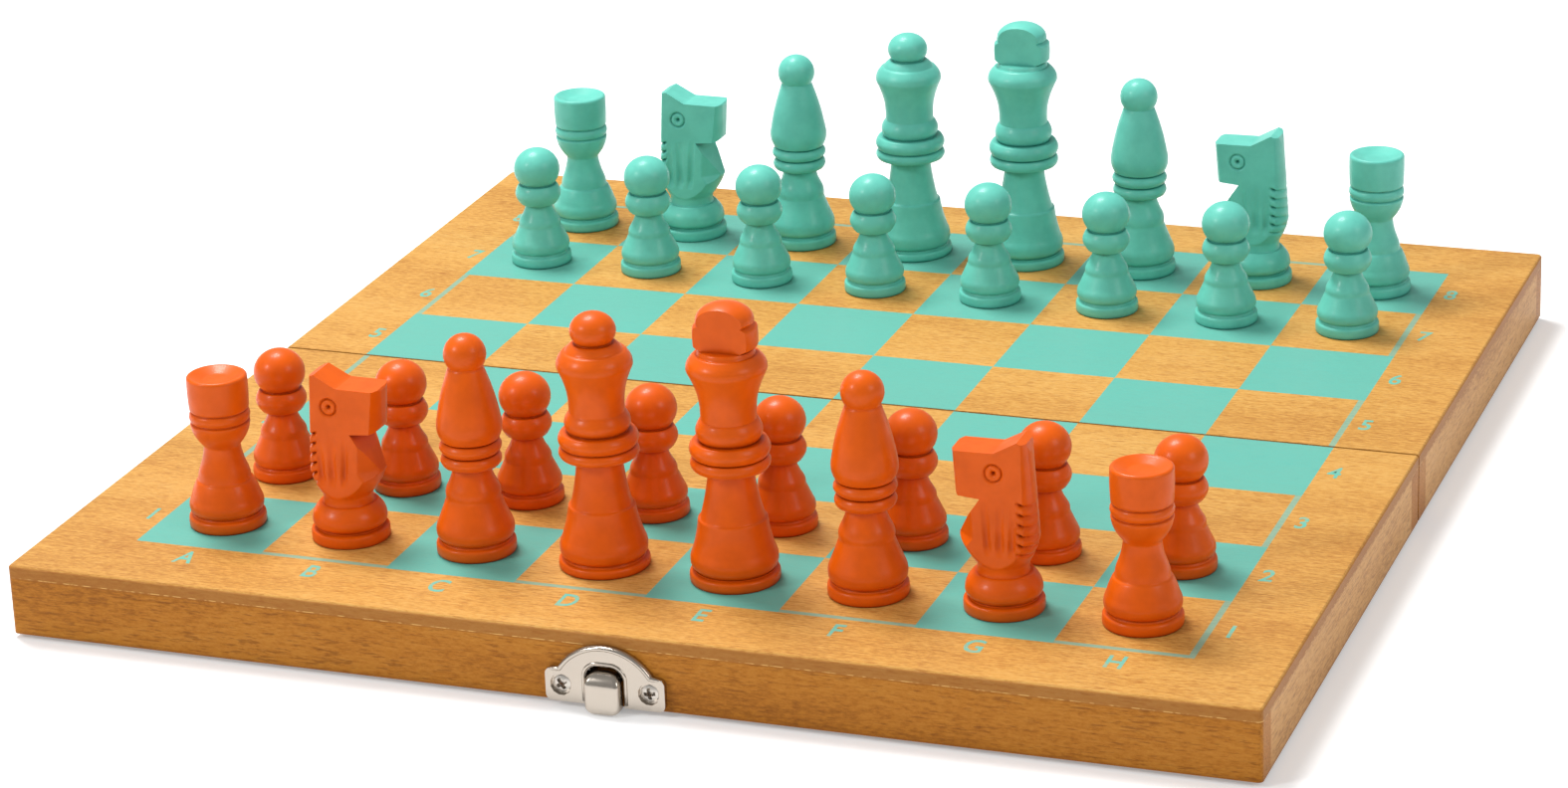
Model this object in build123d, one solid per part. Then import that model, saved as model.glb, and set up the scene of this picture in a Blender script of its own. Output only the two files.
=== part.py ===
from build123d import *
import math
import os

# Folding chess and draughts set, opened flat with the men set out.
# Millimetres. X runs from the A file to the H file, Y from rank 1 to rank 8, Z up.
# Origin: under the middle of the seam, on the surface the set stands on.

# Board and case
BOARD_W = 290.0
BOARD_D = 290.0
PANEL_T = 3.0
RAIL_T = 7.0
RAIL_H = 13.6
SEAM_HALF_GAP = 0.4
CORNER_R = 1.2
PANEL_BEVEL = 0.5
SQUARE = 31.0
GRID_SHIFT = 1.0

# Butt hinges under the seam
BARREL_R = 1.1
PIN_R = 0.5
ROD_SIDES = 12
RUNNING_FIT = 0.05
CLOSING_GAP = 0.05
HINGE_X = 85.0
LEAF_L = 22.0
LEAF_REACH = 6.1
LEAF_T = 0.8
KNUCKLE_GAP = 0.15
BARREL_CLEARANCE = 0.3
LEAF_SCREW_X = 7.2
LEAF_SCREW_Y = 3.9
LEAF_HEAD_R = 1.4
LEAF_HEAD_H = 0.7
LEAF_SHANK_R = 0.7
LEAF_SHANK_L = 4.6

# Half moon clasp, measured outward from the front face and up from the rim
CLASP_T = 0.7
PLATE_T = 1.4
ARCH_R = 13.0
ARCH_CENTRE_UP = 1.2
PLATE_BEVEL = 0.45
TAB_HALF_W = 13.85
TAB_TOP_UP = 7.9
PLATE_BOTTOM_UP = 0.3
TAB_CORNER_R = 1.5
WINDOW_HALF_W = 4.4
WINDOW_HEAD_ROOM = 0.9
WINDOW_CORNER_R = 3.0
CLASP_SCREW_X = 10.2
CLASP_SCREW_UP = 4.2
SCREW_RECESS_R = 2.5
CLASP_HEAD_R = 2.0
CLASP_SHANK_R = 0.9
CLASP_SHANK_L = 5.2
CLASP_PIN_IN = 1.0
CLASP_PIN_UP = 7.6
EAR_T = 0.8
EAR_GAP = 0.2
EAR_HALF_H = 1.3
POCKET_GAP = 0.6
TONGUE_SIDE_GAP = 0.3
TONGUE_OUT = 4.0
TONGUE_T = 0.7
TONGUE_DROP = 0.6
DOME_R = 3.6
SHOULDER_R = 3.2
TOOTH_CATCH = 0.45
TOOTH_GAP = 0.15

# Catch on the other half
CATCH_HALF_W = 7.5
CATCH_H = 8.6
CATCH_SCREW_X = 5.2
CATCH_SCREW_DOWN = 5.4
LIP_HALF_W = 3.0
LIP_T = 0.6
LIP_IN = 1.75
LIP_CLEARANCE = 0.25
LIP_RISE = 0.9
LIP_DROP = 0.4

# Cross recess in the screw heads, as shares of the head's radius and height
SCREW_SIDES = 6
CROSS_LENGTH = 1.3
CROSS_WIDTH = 0.25
CROSS_DEPTH = 0.45

# Turned men. A base is (radius, height). A member is (height, start radius, end
# radius, swell): the radius runs straight from start to end, plus swell times a half sine.
# A ball is (radius, height, height of its centre). Heights run up from the board.
TURNING_SIDES = 10
SMALL_MAN_SIDES = 8
STEP = 0.25
BASE_GROOVE = 0.7
DISC_EDGE = 0.4
MEMBER_STEPS = 2
FLAT_SWELL = 0.4
BALL_STEPS = 3
BALL_TIP = 0.35
PAWN = dict(
    base=(7.8, 2.9),
    members=(
        (5.7, 7.35, 6.2, 0.75),
        (5.0, 6.2, 4.0, 0.55),
        (2.4, 4.0, 3.3, -0.15),
        (5.3, 4.7, 5.0, 1.1),
    ),
    ball=(6.0, 9.7, 4.1),
)
BISHOP = dict(
    base=(8.95, 3.0),
    members=(
        (8.4, 8.6, 6.7, 1.15),
        (5.3, 6.7, 5.6, 0.35),
        (3.9, 5.6, 4.2, -0.25),
        (2.9, 6.3, 6.3, 0.55),
        (3.2, 6.3, 6.3, 0.6),
        (4.2, 6.5, 7.35, 0.2),
        (12.9, 7.35, 4.0, 0.35),
    ),
    ball=(4.8, 7.7, 3.0),
)
ROOK = dict(
    base=(8.75, 2.9),
    members=(
        (8.0, 8.4, 6.4, 1.15),
        (8.3, 6.1, 4.15, -0.2),
        (5.6, 4.15, 6.85, 0.55),
        (2.9, 6.5, 6.5, 0.45),
    ),
    drum=(6.9, 8.5, 5.4, 0.7),
)
QUEEN = dict(
    base=(10.15, 2.3),
    members=(
        (12.1, 9.7, 7.5, 1.0),
        (11.5, 6.9, 5.05, -0.25),
        (2.6, 8.7, 8.7, 0.4),
        (3.5, 8.7, 8.3, 0.5),
        (4.4, 6.9, 6.5, 0.75),
        (10.9, 6.4, 8.5, -0.75),
        (3.4, 8.5, 7.0, 0.45),
        (1.8, 6.6, 4.8, 0.1),
    ),
    ball=(5.15, 7.0, 2.8),
)
KING = dict(
    base=(10.0, 2.6),
    members=(
        (12.0, 9.6, 7.75, 1.0),
        (11.7, 7.25, 4.95, -0.25),
        (3.0, 8.6, 8.6, 0.4),
        (3.7, 8.7, 8.4, 0.5),
        (4.7, 6.9, 6.6, 0.7),
        (11.7, 6.3, 8.95, -0.9),
        (3.6, 8.95, 7.1, 0.6),
        (1.1, 6.4, 6.0, 0.1),
    ),
    finial=(7.1, 3.7, 10.5),
)
KNIGHT = dict(
    base=(8.85, 3.0),
    members=(
        (5.9, 7.9, 6.9, 1.05),
        (2.1, 5.75, 5.75, -0.1),
        (6.0, 5.75, 8.7, 0.35),
    ),
    blank=8.7,
)

# Knight's head, forward from the axis and up from where the members end. The blank
# leans forward: its axis runs from the first lean, where the members end, to the second.
BLANK_LEAN = (0.6, 2.1)
HEAD_TOP_HALF_T = 4.2
HEAD_LOW_HALF_T = 5.9
EAR_BACK_UP = 20.8
EAR_TIP = (-4.6, 22.9)
POLL = (0.5, 20.1)
MUZZLE_TOP_UP = 20.0
MUZZLE_LOW_UP = 10.4
CHIN = (3.6, 9.6)
THROAT = (6.6, 5.2)
CHEST_DOWN = 3.0

# King's finial, up from the ring it stands on
FINIAL_EDGE = 0.8
NOTCH_UP = 5.8
NOTCH_DEEP = 1.1
CAP_R = 6.4
CAP_STEPS = 2

# Draughtsmen, stacked in the hollow of the front half
DRAUGHT_R = 12.0
DRAUGHT_H = 5.0
DRAUGHT_SIDES = 8
DRAUGHT_RIM = 3.0
DRAUGHT_DISH = 0.5
DRAUGHT_GAP = 1.6
DRAUGHT_COLUMNS = 3
DRAUGHT_ROWS = 2
DRAUGHT_STACK = 2

# Heights and faces that follow from the sizes above
AXIS_Z = BARREL_R
RIM_Z = BARREL_R + CLOSING_GAP
PANEL_Z = RIM_Z + RAIL_H
TOP_Z = PANEL_Z + PANEL_T
FACE_Y = BOARD_D / 2
SIDE_X = BOARD_W / 2
RAIL_IN_Y = FACE_Y - RAIL_T
SEAM_RAIL_Y = SEAM_HALF_GAP + RAIL_T
SIDE_RAIL_X = SIDE_X - RAIL_T
GRID_LEFT = GRID_SHIFT - 4 * SQUARE
GRID_FRONT = -4 * SQUARE
WINDOW_TOP_UP = CLASP_PIN_UP + BARREL_R + WINDOW_HEAD_ROOM
TONGUE_HALF_W = WINDOW_HALF_W - TONGUE_SIDE_GAP
TONGUE_IN = TONGUE_OUT - TONGUE_T
POCKET_DEPTH = CLASP_PIN_IN + EAR_HALF_H + POCKET_GAP
LIP_OUT = TONGUE_IN - LIP_CLEARANCE
TOOTH_IN = LIP_OUT - TOOTH_CATCH
TOOTH_TOP_UP = LIP_RISE - 2 * CLOSING_GAP - LIP_T - TOOTH_GAP
DRAUGHT_PITCH = 2 * DRAUGHT_R + DRAUGHT_GAP


def block(x, y, z):
    """Box between the limits given for each axis."""
    middle = ((x[0] + x[1]) / 2, (y[0] + y[1]) / 2, (z[0] + z[1]) / 2)
    return Pos(*middle) * Box(abs(x[1] - x[0]), abs(y[1] - y[0]), abs(z[1] - z[0]))


def round_bar(radius, x, y, z):
    """Cylinder along X between two limits."""
    return Pos((x[0] + x[1]) / 2, y, z) * Rot(0, 90, 0) * Cylinder(radius, x[1] - x[0])


def side_sheet(points, x):
    """Outline in the YZ plane, extruded along X."""
    face = Plane.YZ.offset(x[0]) * Polygon(*points, align=None)
    return extrude(face, x[1] - x[0], dir=(1, 0, 0))


def polygon_at(sides, z, radius, ahead=0):
    """Corners of a level polygon whose area is close to that of the circle it stands for."""
    turn = math.pi / sides
    reach = radius / math.sqrt(math.cos(turn))
    angles = [(2 * k + 1) * turn for k in range(sides)]
    return [Vector(ahead + reach * math.cos(a), reach * math.sin(a), z) for a in angles]


def facet(points):
    """Flat face through points in order."""
    return Face(Wire.make_polygon(points, close=True))


def turned(stations, sides):
    """Solid with flat facets between polygons at stations of height, radius and shift along X."""
    rings = [polygon_at(sides, *station) for station in stations]
    faces = [facet(rings[0]), facet(rings[-1])]
    for low, high in zip(rings, rings[1:]):
        for k in range(sides):
            after = (k + 1) % sides
            faces.append(facet([low[k], low[after], high[after], high[k]]))
    return Solid(Shell(faces))


def rod(radius, x, y, z):
    """Barrel or bore along X between two limits, with flat facets."""
    return Pos(x[0], y, z) * Rot(0, 90, 0) * turned(((0, radius), (x[1] - x[0], radius)), ROD_SIDES)


def sunk_hole(head_r, head_h, shank_r, depth):
    """Countersunk screw hole as a cutter, its mouth at Z zero and its bottom up."""
    mouth = head_r + RUNNING_FIT
    bore = shank_r + RUNNING_FIT
    return turned(((-STEP, mouth), (0, mouth), (head_h, bore), (depth, bore)), SCREW_SIDES)


# Wooden case

def rounded_upright(body, outer_x, outer_y):
    """Round the upright edges at the outside corners of the case."""
    edges = [e for e in body.edges().filter_by(Axis.Z) if abs(e.center().Y - outer_y) < STEP]
    return fillet([e for e in edges if abs(abs(e.center().X) - outer_x) < STEP], CORNER_R)


def hinge_recess():
    """Room for both barrels and the front leaf's mortise, at both hinges."""
    reach = LEAF_L / 2 + KNUCKLE_GAP
    room = BARREL_R + BARREL_CLEARANCE
    barrel = block((-reach, reach), (-room, 0), (0, AXIS_Z + room))
    one = barrel + block((-reach, reach), (-LEAF_REACH - KNUCKLE_GAP, 0), (0, RIM_Z + LEAF_T))
    for x in (-LEAF_SCREW_X, LEAF_SCREW_X):
        one += Pos(x, -LEAF_SCREW_Y, RIM_Z) * leaf_hole()
    return Pos(-HINGE_X, 0, 0) * one + Pos(HINGE_X, 0, 0) * one


def panel():
    """Top panel of the front half."""
    body = block((-SIDE_X, SIDE_X), (-FACE_Y, -SEAM_HALF_GAP), (PANEL_Z, TOP_Z))
    body = rounded_upright(body, SIDE_X, -FACE_Y)
    rim = body.faces().sort_by(Axis.Z)[-1].edges()
    outside = [e for e in rim if e.center().Y < -SEAM_HALF_GAP - STEP]
    return chamfer(outside, PANEL_BEVEL)


def outer_rail():
    """Long rail along the outside edge of the front half."""
    body = block((-SIDE_X, SIDE_X), (-FACE_Y, -RAIL_IN_Y), (RIM_Z, PANEL_Z))
    return rounded_upright(body, SIDE_X, -FACE_Y)


def seam_rail():
    """Long rail beside the seam of the front half, let in for the hinges."""
    body = block((-SIDE_X, SIDE_X), (-SEAM_RAIL_Y, -SEAM_HALF_GAP), (RIM_Z, PANEL_Z))
    return body - hinge_recess()


def side_rail(side):
    """Short rail between the long ones of the front half."""
    return block((side * SIDE_RAIL_X, side * SIDE_X), (-RAIL_IN_Y, -SEAM_RAIL_Y), (RIM_Z, PANEL_Z))


# Hinges

def leaf_hole():
    """Hole for one leaf screw, through the leaf into the rail."""
    return sunk_hole(LEAF_HEAD_R, LEAF_HEAD_H, LEAF_SHANK_R, LEAF_HEAD_H + LEAF_SHANK_L + STEP)


def knuckle_limits():
    """X limits of the three knuckles along a barrel."""
    length = (LEAF_L - 2 * KNUCKLE_GAP) / 3
    starts = [-LEAF_L / 2 + k * (length + KNUCKLE_GAP) for k in range(3)]
    return [(s, s + length) for s in starts]


def hinge_leaf(knuckles):
    """Leaf on the front side of the axis with the knuckles given."""
    edge = BARREL_R + KNUCKLE_GAP
    body = block((-LEAF_L / 2, LEAF_L / 2), (-LEAF_REACH, -edge), (RIM_Z, RIM_Z + LEAF_T))
    for limits in knuckles:
        body += block(limits, (-edge, 0), (RIM_Z, RIM_Z + LEAF_T))
        body += rod(BARREL_R, limits, 0, AXIS_Z)
    body -= rod(PIN_R + RUNNING_FIT, (-LEAF_L, LEAF_L), 0, AXIS_Z)
    for x in (-LEAF_SCREW_X, LEAF_SCREW_X):
        body -= Pos(x, -LEAF_SCREW_Y, RIM_Z) * leaf_hole()
    return body


def hinge_pin():
    """Pin through the three knuckles."""
    return round_bar(PIN_R, (-LEAF_L / 2, LEAF_L / 2), 0, AXIS_Z)


def wood_screw(head_r, head_h, shank_r, shank_l):
    """Countersunk cross head screw, head down at Z zero, point up."""
    tip = head_h + shank_l
    body = turned(((0, head_r), (head_h, shank_r), (tip, BALL_TIP * shank_r)), SCREW_SIDES)
    slot = Box(CROSS_LENGTH * head_r, CROSS_WIDTH * head_r, 2 * CROSS_DEPTH * head_h)
    return body - (slot + Rot(0, 0, 90) * slot)


def leaf_screws():
    """Four screws of the front leaves, as separate solids."""
    one = wood_screw(LEAF_HEAD_R, LEAF_HEAD_H, LEAF_SHANK_R, LEAF_SHANK_L)
    rows = [x + dx for x in (-HINGE_X, HINGE_X) for dx in (-LEAF_SCREW_X, LEAF_SCREW_X)]
    return Compound([Pos(x, -LEAF_SCREW_Y, RIM_Z) * one for x in rows])


# Clasp on the front face

def clasp_point(out, up):
    """Y and Z of a place measured outward from the face and up from the rim."""
    return (-FACE_Y - out, RIM_Z + up)


def front_slab(sketch, inner, outer):
    """Front view outline, X and height above the rim, between two distances out."""
    plane = Plane(origin=(0, -FACE_Y - inner, RIM_Z), x_dir=(1, 0, 0), z_dir=(0, -1, 0))
    return extrude(plane * sketch, outer - inner)


def tabs():
    """Outline of the plate's two square tabs, joined behind the arch."""
    height = TAB_TOP_UP - PLATE_BOTTOM_UP
    outline = Pos(0, PLATE_BOTTOM_UP + height / 2) * Rectangle(2 * TAB_HALF_W, height)
    return fillet(outline.vertices(), TAB_CORNER_R)


def arch():
    """Part of a disc above the plate's bottom edge."""
    disc = Pos(0, ARCH_CENTRE_UP) * Circle(ARCH_R)
    return disc - Pos(0, PLATE_BOTTOM_UP - ARCH_R) * Rectangle(4 * ARCH_R, 2 * ARCH_R)


def window():
    """Opening for the tongue, open at the bottom edge of the plate."""
    height = 2 * WINDOW_TOP_UP
    shape = Rectangle(2 * WINDOW_HALF_W, height)
    return fillet(shape.vertices(), WINDOW_CORNER_R)


def clasp_plate():
    """Half moon plate with its bevelled arch, window, screw seats and ears."""
    body = front_slab(arch(), 0, PLATE_T)
    face = body.faces().sort_by(Axis.Y)[0]
    body = chamfer(face.edges().filter_by(GeomType.CIRCLE), PLATE_BEVEL)
    body += front_slab(tabs(), 0, PLATE_T)
    body -= front_slab(window(), -STEP, 2 * PLATE_T)
    _, pin_z = clasp_point(0, CLASP_PIN_UP)
    for side in (-1, 1):
        body -= face_seat(side * CLASP_SCREW_X, CLASP_SCREW_UP)
        body -= face_hole(side * CLASP_SCREW_X, CLASP_SCREW_UP)
        ear_x = (side * (WINDOW_HALF_W + EAR_GAP), side * (WINDOW_HALF_W + EAR_GAP + EAR_T))
        ear_y = (-FACE_Y, -FACE_Y + CLASP_PIN_IN + EAR_HALF_H)
        body += block(ear_x, ear_y, (pin_z - EAR_HALF_H, pin_z + EAR_HALF_H))
    reach = WINDOW_HALF_W + EAR_GAP + 2 * EAR_T
    return body - rod(PIN_R + RUNNING_FIT, (-reach, reach), -FACE_Y + CLASP_PIN_IN, pin_z)


def clasp_pocket():
    """Pocket behind the window and pilot holes, cut from the front rail."""
    reach = WINDOW_HALF_W + 2 * EAR_GAP + EAR_T
    low = RIM_Z + CLASP_PIN_UP - EAR_HALF_H - EAR_GAP
    high = RIM_Z + WINDOW_TOP_UP
    cut = block((-reach, reach), (-FACE_Y - STEP, -FACE_Y + POCKET_DEPTH), (low, high))
    return cut + screw_holes(CLASP_SCREW_X, CLASP_SCREW_UP)


def face_hole(x, up):
    """Countersunk hole through a plate on the front face into the rail."""
    hole = sunk_hole(CLASP_HEAD_R, CLASP_T, CLASP_SHANK_R, CLASP_T + CLASP_SHANK_L + STEP)
    return Pos(x, -FACE_Y - CLASP_T, RIM_Z + up) * Rot(-90, 0, 0) * hole


def face_seat(x, up):
    """Recess in the plate's face around a screw head."""
    seat = turned(((0, SCREW_RECESS_R), (PLATE_T, SCREW_RECESS_R)), ROD_SIDES)
    return Pos(x, -FACE_Y - CLASP_T, RIM_Z + up) * Rot(90, 0, 0) * seat


def screw_holes(x, up):
    """Two holes in the front face."""
    return face_hole(-x, up) + face_hole(x, up)


def face_screws(x, up):
    """Two screws through a plate on the front face, as separate solids."""
    one = wood_screw(CLASP_HEAD_R, CLASP_T, CLASP_SHANK_R, CLASP_SHANK_L)
    one = Rot(-90, 0, 0) * one
    return Compound([Pos(side * x, -FACE_Y - CLASP_T, RIM_Z + up) * one for side in (-1, 1)])


def clasp_pin():
    """Pin that the tongue swings on, held in the plate's ears."""
    reach = WINDOW_HALF_W + EAR_GAP + EAR_T
    return round_bar(PIN_R, (-reach, reach), *clasp_point(-CLASP_PIN_IN, CLASP_PIN_UP))


def clasp_tongue():
    """Hollow tongue with a domed top, side cheeks and a tooth at its tip."""
    top = CLASP_PIN_UP + BARREL_R
    under = top - TONGUE_T
    shell = [
        (-CLASP_PIN_IN, top), (TONGUE_OUT, top), (TONGUE_OUT, -TONGUE_DROP), (TOOTH_IN, -TONGUE_DROP),
        (TOOTH_IN, TOOTH_TOP_UP), (TONGUE_IN, TOOTH_TOP_UP), (TONGUE_IN, under), (-CLASP_PIN_IN, under),
    ]
    low = CLASP_PIN_UP - BARREL_R
    back = PLATE_T + STEP
    cheek = [
        (-CLASP_PIN_IN, top), (TONGUE_OUT, top), (TONGUE_OUT, 0), (TONGUE_IN, 0),
        (back, PLATE_BOTTOM_UP), (back, low), (-CLASP_PIN_IN, low),
    ]
    wide = (-TONGUE_HALF_W, TONGUE_HALF_W)
    hollow = (TONGUE_T - TONGUE_HALF_W, TONGUE_HALF_W - TONGUE_T)
    body = side_sheet([clasp_point(*p) for p in shell], wide)
    solid = side_sheet([clasp_point(*p) for p in cheek], wide)
    cavity = side_sheet([clasp_point(*p) for p in cheek], hollow)
    body += solid - cavity
    pin_y, pin_z = clasp_point(-CLASP_PIN_IN, CLASP_PIN_UP)
    body += rod(BARREL_R, wide, pin_y, pin_z)
    dome_y, dome_z = clasp_point(TONGUE_OUT - DOME_R, top - DOME_R)
    corner = block(wide, (dome_y, dome_y - 2 * DOME_R), (dome_z, dome_z + 2 * DOME_R))
    body -= corner - round_bar(DOME_R, wide, dome_y, dome_z)
    crown = round_bar(DOME_R, hollow, dome_y, dome_z)
    crown -= round_bar(DOME_R - TONGUE_T, hollow, dome_y, dome_z)
    body += crown & corner
    body -= shoulder_waste(top)
    return body - rod(PIN_R + RUNNING_FIT, (-WINDOW_HALF_W, WINDOW_HALF_W), pin_y, pin_z)


def shoulder_waste(top):
    """What is cut away outside the tongue's rounded shoulders, clear of its pin."""
    frame = Pos(0, top) * Rectangle(2 * WINDOW_HALF_W, 2 * SHOULDER_R)
    keep = Pos(0, top - 2 * SHOULDER_R) * Rectangle(2 * TONGUE_HALF_W, 4 * SHOULDER_R)
    return front_slab(frame - fillet(keep.vertices(), SHOULDER_R), 0, 2 * TONGUE_OUT)


def catch_plate():
    """Plate on the front face whose lip stands over the rim, for the other half."""
    outline = Pos(0, LIP_DROP + CATCH_H / 2) * Rectangle(2 * CATCH_HALF_W, CATCH_H)
    body = front_slab(fillet(outline.vertices(), TAB_CORNER_R), 0, CLASP_T)
    bend = LIP_IN + LIP_T
    upper = LIP_DROP + LIP_T
    hook = LIP_T - LIP_RISE
    lip = [
        (0, LIP_DROP), (LIP_IN, LIP_DROP), (LIP_IN, -LIP_RISE), (LIP_OUT, -LIP_RISE),
        (LIP_OUT, hook), (bend, hook), (bend, upper), (0, upper),
    ]
    body += side_sheet([clasp_point(*p) for p in lip], (-LIP_HALF_W, LIP_HALF_W))
    return body - screw_holes(CATCH_SCREW_X, CATCH_SCREW_DOWN)


# Turned men

def member_stations(z, height, start, end, swell):
    """Height and radius stations along one turned member."""
    count = MEMBER_STEPS if abs(swell) > FLAT_SWELL else 1
    shares = [k / count for k in range(count + 1)]
    return [(z + height * t, start + (end - start) * t + swell * math.sin(math.pi * t)) for t in shares]


def body_stations(man):
    """Stations of a man's base and members, and the height they reach."""
    radius, z = man["base"]
    stations = [(0, radius), (z - DISC_EDGE, radius), (z, radius - BASE_GROOVE)]
    for member in man["members"]:
        part = member_stations(z, *member)
        if abs(part[0][1] - stations[-1][1]) > RUNNING_FIT:
            stations.append((z + STEP, part[0][1]))
        stations += part[1:]
        z += member[0]
    return stations, z


def ball_stations(z, radius, height, rise):
    """Stations of a ball cut off where it stands, with a small flat on top."""
    upright = height - rise
    low = -math.asin(rise / upright)
    turns = [low + (math.pi / 2 - low) * k / (BALL_STEPS + 1) for k in range(BALL_STEPS + 1)]
    stations = [(z + rise + upright * math.sin(a), radius * math.cos(a)) for a in turns]
    stations[0] = (z + STEP, stations[0][1])
    return stations + [(z + height, BALL_TIP * radius * math.cos(turns[-1]))]


def ball_man(man, sides):
    """Pawn, bishop or queen: turned members under a ball."""
    stations, z = body_stations(man)
    return turned(stations + ball_stations(z, *man["ball"]), sides)


def rook():
    """Turned members under a drum with a dished top."""
    stations, z = body_stations(ROOK)
    radius, height, dish_r, dish = ROOK["drum"]
    top = z + height
    stations += [(z + STEP, radius), (top - DISC_EDGE, radius), (top, radius - DISC_EDGE)]
    hollow = turned(((top - dish, dish_r), (top + dish, dish_r)), SMALL_MAN_SIDES)
    return turned(stations, SMALL_MAN_SIDES) - hollow


def king():
    """Turned members under a finial with two flats and a notch in each side."""
    stations, z = body_stations(KING)
    radius, half_t, height = KING["finial"]
    notch = z + NOTCH_UP
    stations += [(z + STEP, radius - NOTCH_DEEP), (z + FINIAL_EDGE, radius), (notch - FINIAL_EDGE, radius)]
    stations += [(notch, radius - NOTCH_DEEP), (notch + STEP, CAP_R - STEP)]
    rise = height - NOTCH_UP - FINIAL_EDGE
    for k in range(CAP_STEPS + 1):
        turn = k / (CAP_STEPS + 1) * math.pi / 2
        stations.append((notch + FINIAL_EDGE + rise * math.sin(turn), CAP_R * math.cos(turn)))
    stations.append((z + height, CAP_R * BALL_TIP))
    body = turned(stations, TURNING_SIDES)
    wide = (-2 * radius, 2 * radius)
    for side in (-1, 1):
        body -= block(wide, (side * half_t, side * 2 * radius), (z + STEP, z + 2 * height))
    return body


def knight():
    """Turned blank with two tapering flats, cut to a head that looks along X."""
    stations, z = body_stations(KNIGHT)
    radius = KNIGHT["blank"]
    low_lean, top_lean = BLANK_LEAN
    reach = radius + top_lean + STEP
    top = z + EAR_TIP[1]
    start = z - KNIGHT["members"][-1][0]
    flats = [(reach, 0), (reach, start), (HEAD_LOW_HALF_T, start), (HEAD_TOP_HALF_T, top)]
    flats += [(-y, up) for y, up in reversed(flats)]
    above = [
        (reach, -CHEST_DOWN), THROAT, CHIN, (reach, MUZZLE_LOW_UP), (reach, MUZZLE_TOP_UP),
        POLL, EAR_TIP, (-reach, EAR_BACK_UP),
    ]
    head = [(-reach, 0), (reach, 0)] + [(x, z + up) for x, up in above]
    face = Plane.XZ.offset(-reach) * Polygon(*head, align=None)
    stations[-1] = (z, radius, low_lean)
    blank = turned(stations + [(top, radius, top_lean)], SMALL_MAN_SIDES)
    return blank & side_sheet(flats, (-reach, reach)) & extrude(face, 2 * reach)


def square_centre(file, rank):
    """Centre of a square on the play surface, counted from zero."""
    return Pos(GRID_LEFT + (file + 0.5) * SQUARE, GRID_FRONT + (rank + 0.5) * SQUARE, TOP_Z)


def set_of_men(colour, home, pawns):
    """Sixteen men on their squares, by name."""
    models = {"rook": rook(), "knight": knight(), "king": king()}
    models["bishop"] = ball_man(BISHOP, TURNING_SIDES)
    models["queen"] = ball_man(QUEEN, TURNING_SIDES)
    pawn = ball_man(PAWN, SMALL_MAN_SIDES)
    order = ("rook", "knight", "bishop", "queen", "king", "bishop", "knight", "rook")
    men = {}
    for file, kind in enumerate(order):
        letter = "abcdefgh"[file]
        turn = 180 if kind == "knight" and file > 3 else 0
        name = f"{colour}_{kind}" if kind in ("queen", "king") else f"{colour}_{kind}_{letter}"
        men[name] = square_centre(file, home) * Rot(0, 0, turn) * models[kind]
        men[f"{colour}_pawn_{letter}"] = square_centre(file, pawns) * pawn
    return men


def draughtsman():
    """Disc with a sunk middle."""
    body = turned(((0, DRAUGHT_R), (DRAUGHT_H, DRAUGHT_R)), DRAUGHT_SIDES)
    dish_r = DRAUGHT_R - DRAUGHT_RIM
    dish = ((DRAUGHT_H - DRAUGHT_DISH, dish_r), (DRAUGHT_H + DRAUGHT_DISH, dish_r))
    return body - turned(dish, DRAUGHT_SIDES)


def draughts(first_row):
    """Twelve draughtsmen of one colour in stacks of two, standing on the table."""
    one = draughtsman()
    left = DRAUGHT_GAP + DRAUGHT_R - SIDE_RAIL_X
    front = DRAUGHT_GAP + DRAUGHT_R - RAIL_IN_Y
    men = []
    for column in range(DRAUGHT_COLUMNS):
        for row in range(first_row, first_row + DRAUGHT_ROWS):
            for level in range(DRAUGHT_STACK):
                x = left + column * DRAUGHT_PITCH
                y = front + row * DRAUGHT_PITCH
                men.append(Pos(x, y, level * DRAUGHT_H) * one)
    return Compound(men)


def to_rear(body):
    """Front half's part carried over to the rear half."""
    return mirror(body, about=Plane.XZ)


def hinge_parts():
    """Leaves and pins of both hinges, by name."""
    first, middle, last = knuckle_limits()
    front = hinge_leaf((first, last))
    rear = to_rear(hinge_leaf((middle,)))
    parts = {}
    for side, x in (("left", -HINGE_X), ("right", HINGE_X)):
        parts[f"{side}_hinge_front_leaf"] = Pos(x, 0, 0) * front
        parts[f"{side}_hinge_rear_leaf"] = Pos(x, 0, 0) * rear
        parts[f"{side}_hinge_pin"] = Pos(x, 0, 0) * hinge_pin()
    parts["front_hinge_screws"] = leaf_screws()
    parts["rear_hinge_screws"] = to_rear(leaf_screws())
    return parts


def board_parts():
    """Panels and rails of both halves, by name."""
    parts = {
        "front_board": panel(),
        "front_outer_rail": outer_rail() - clasp_pocket(),
        "front_seam_rail": seam_rail(),
        "front_left_rail": side_rail(-1),
        "front_right_rail": side_rail(1),
        "rear_board": to_rear(panel()),
        "rear_outer_rail": to_rear(outer_rail() - screw_holes(CATCH_SCREW_X, CATCH_SCREW_DOWN)),
        "rear_seam_rail": to_rear(seam_rail()),
        "rear_left_rail": to_rear(side_rail(-1)),
        "rear_right_rail": to_rear(side_rail(1)),
    }
    return parts


def clasp_parts():
    """Clasp on the front half and catch on the rear half, by name."""
    return {
        "clasp_plate": clasp_plate(),
        "clasp_tongue": clasp_tongue(),
        "clasp_pin": clasp_pin(),
        "clasp_screws": face_screws(CLASP_SCREW_X, CLASP_SCREW_UP),
        "catch_plate": to_rear(catch_plate()),
        "catch_screws": to_rear(face_screws(CATCH_SCREW_X, CATCH_SCREW_DOWN)),
    }


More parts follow.
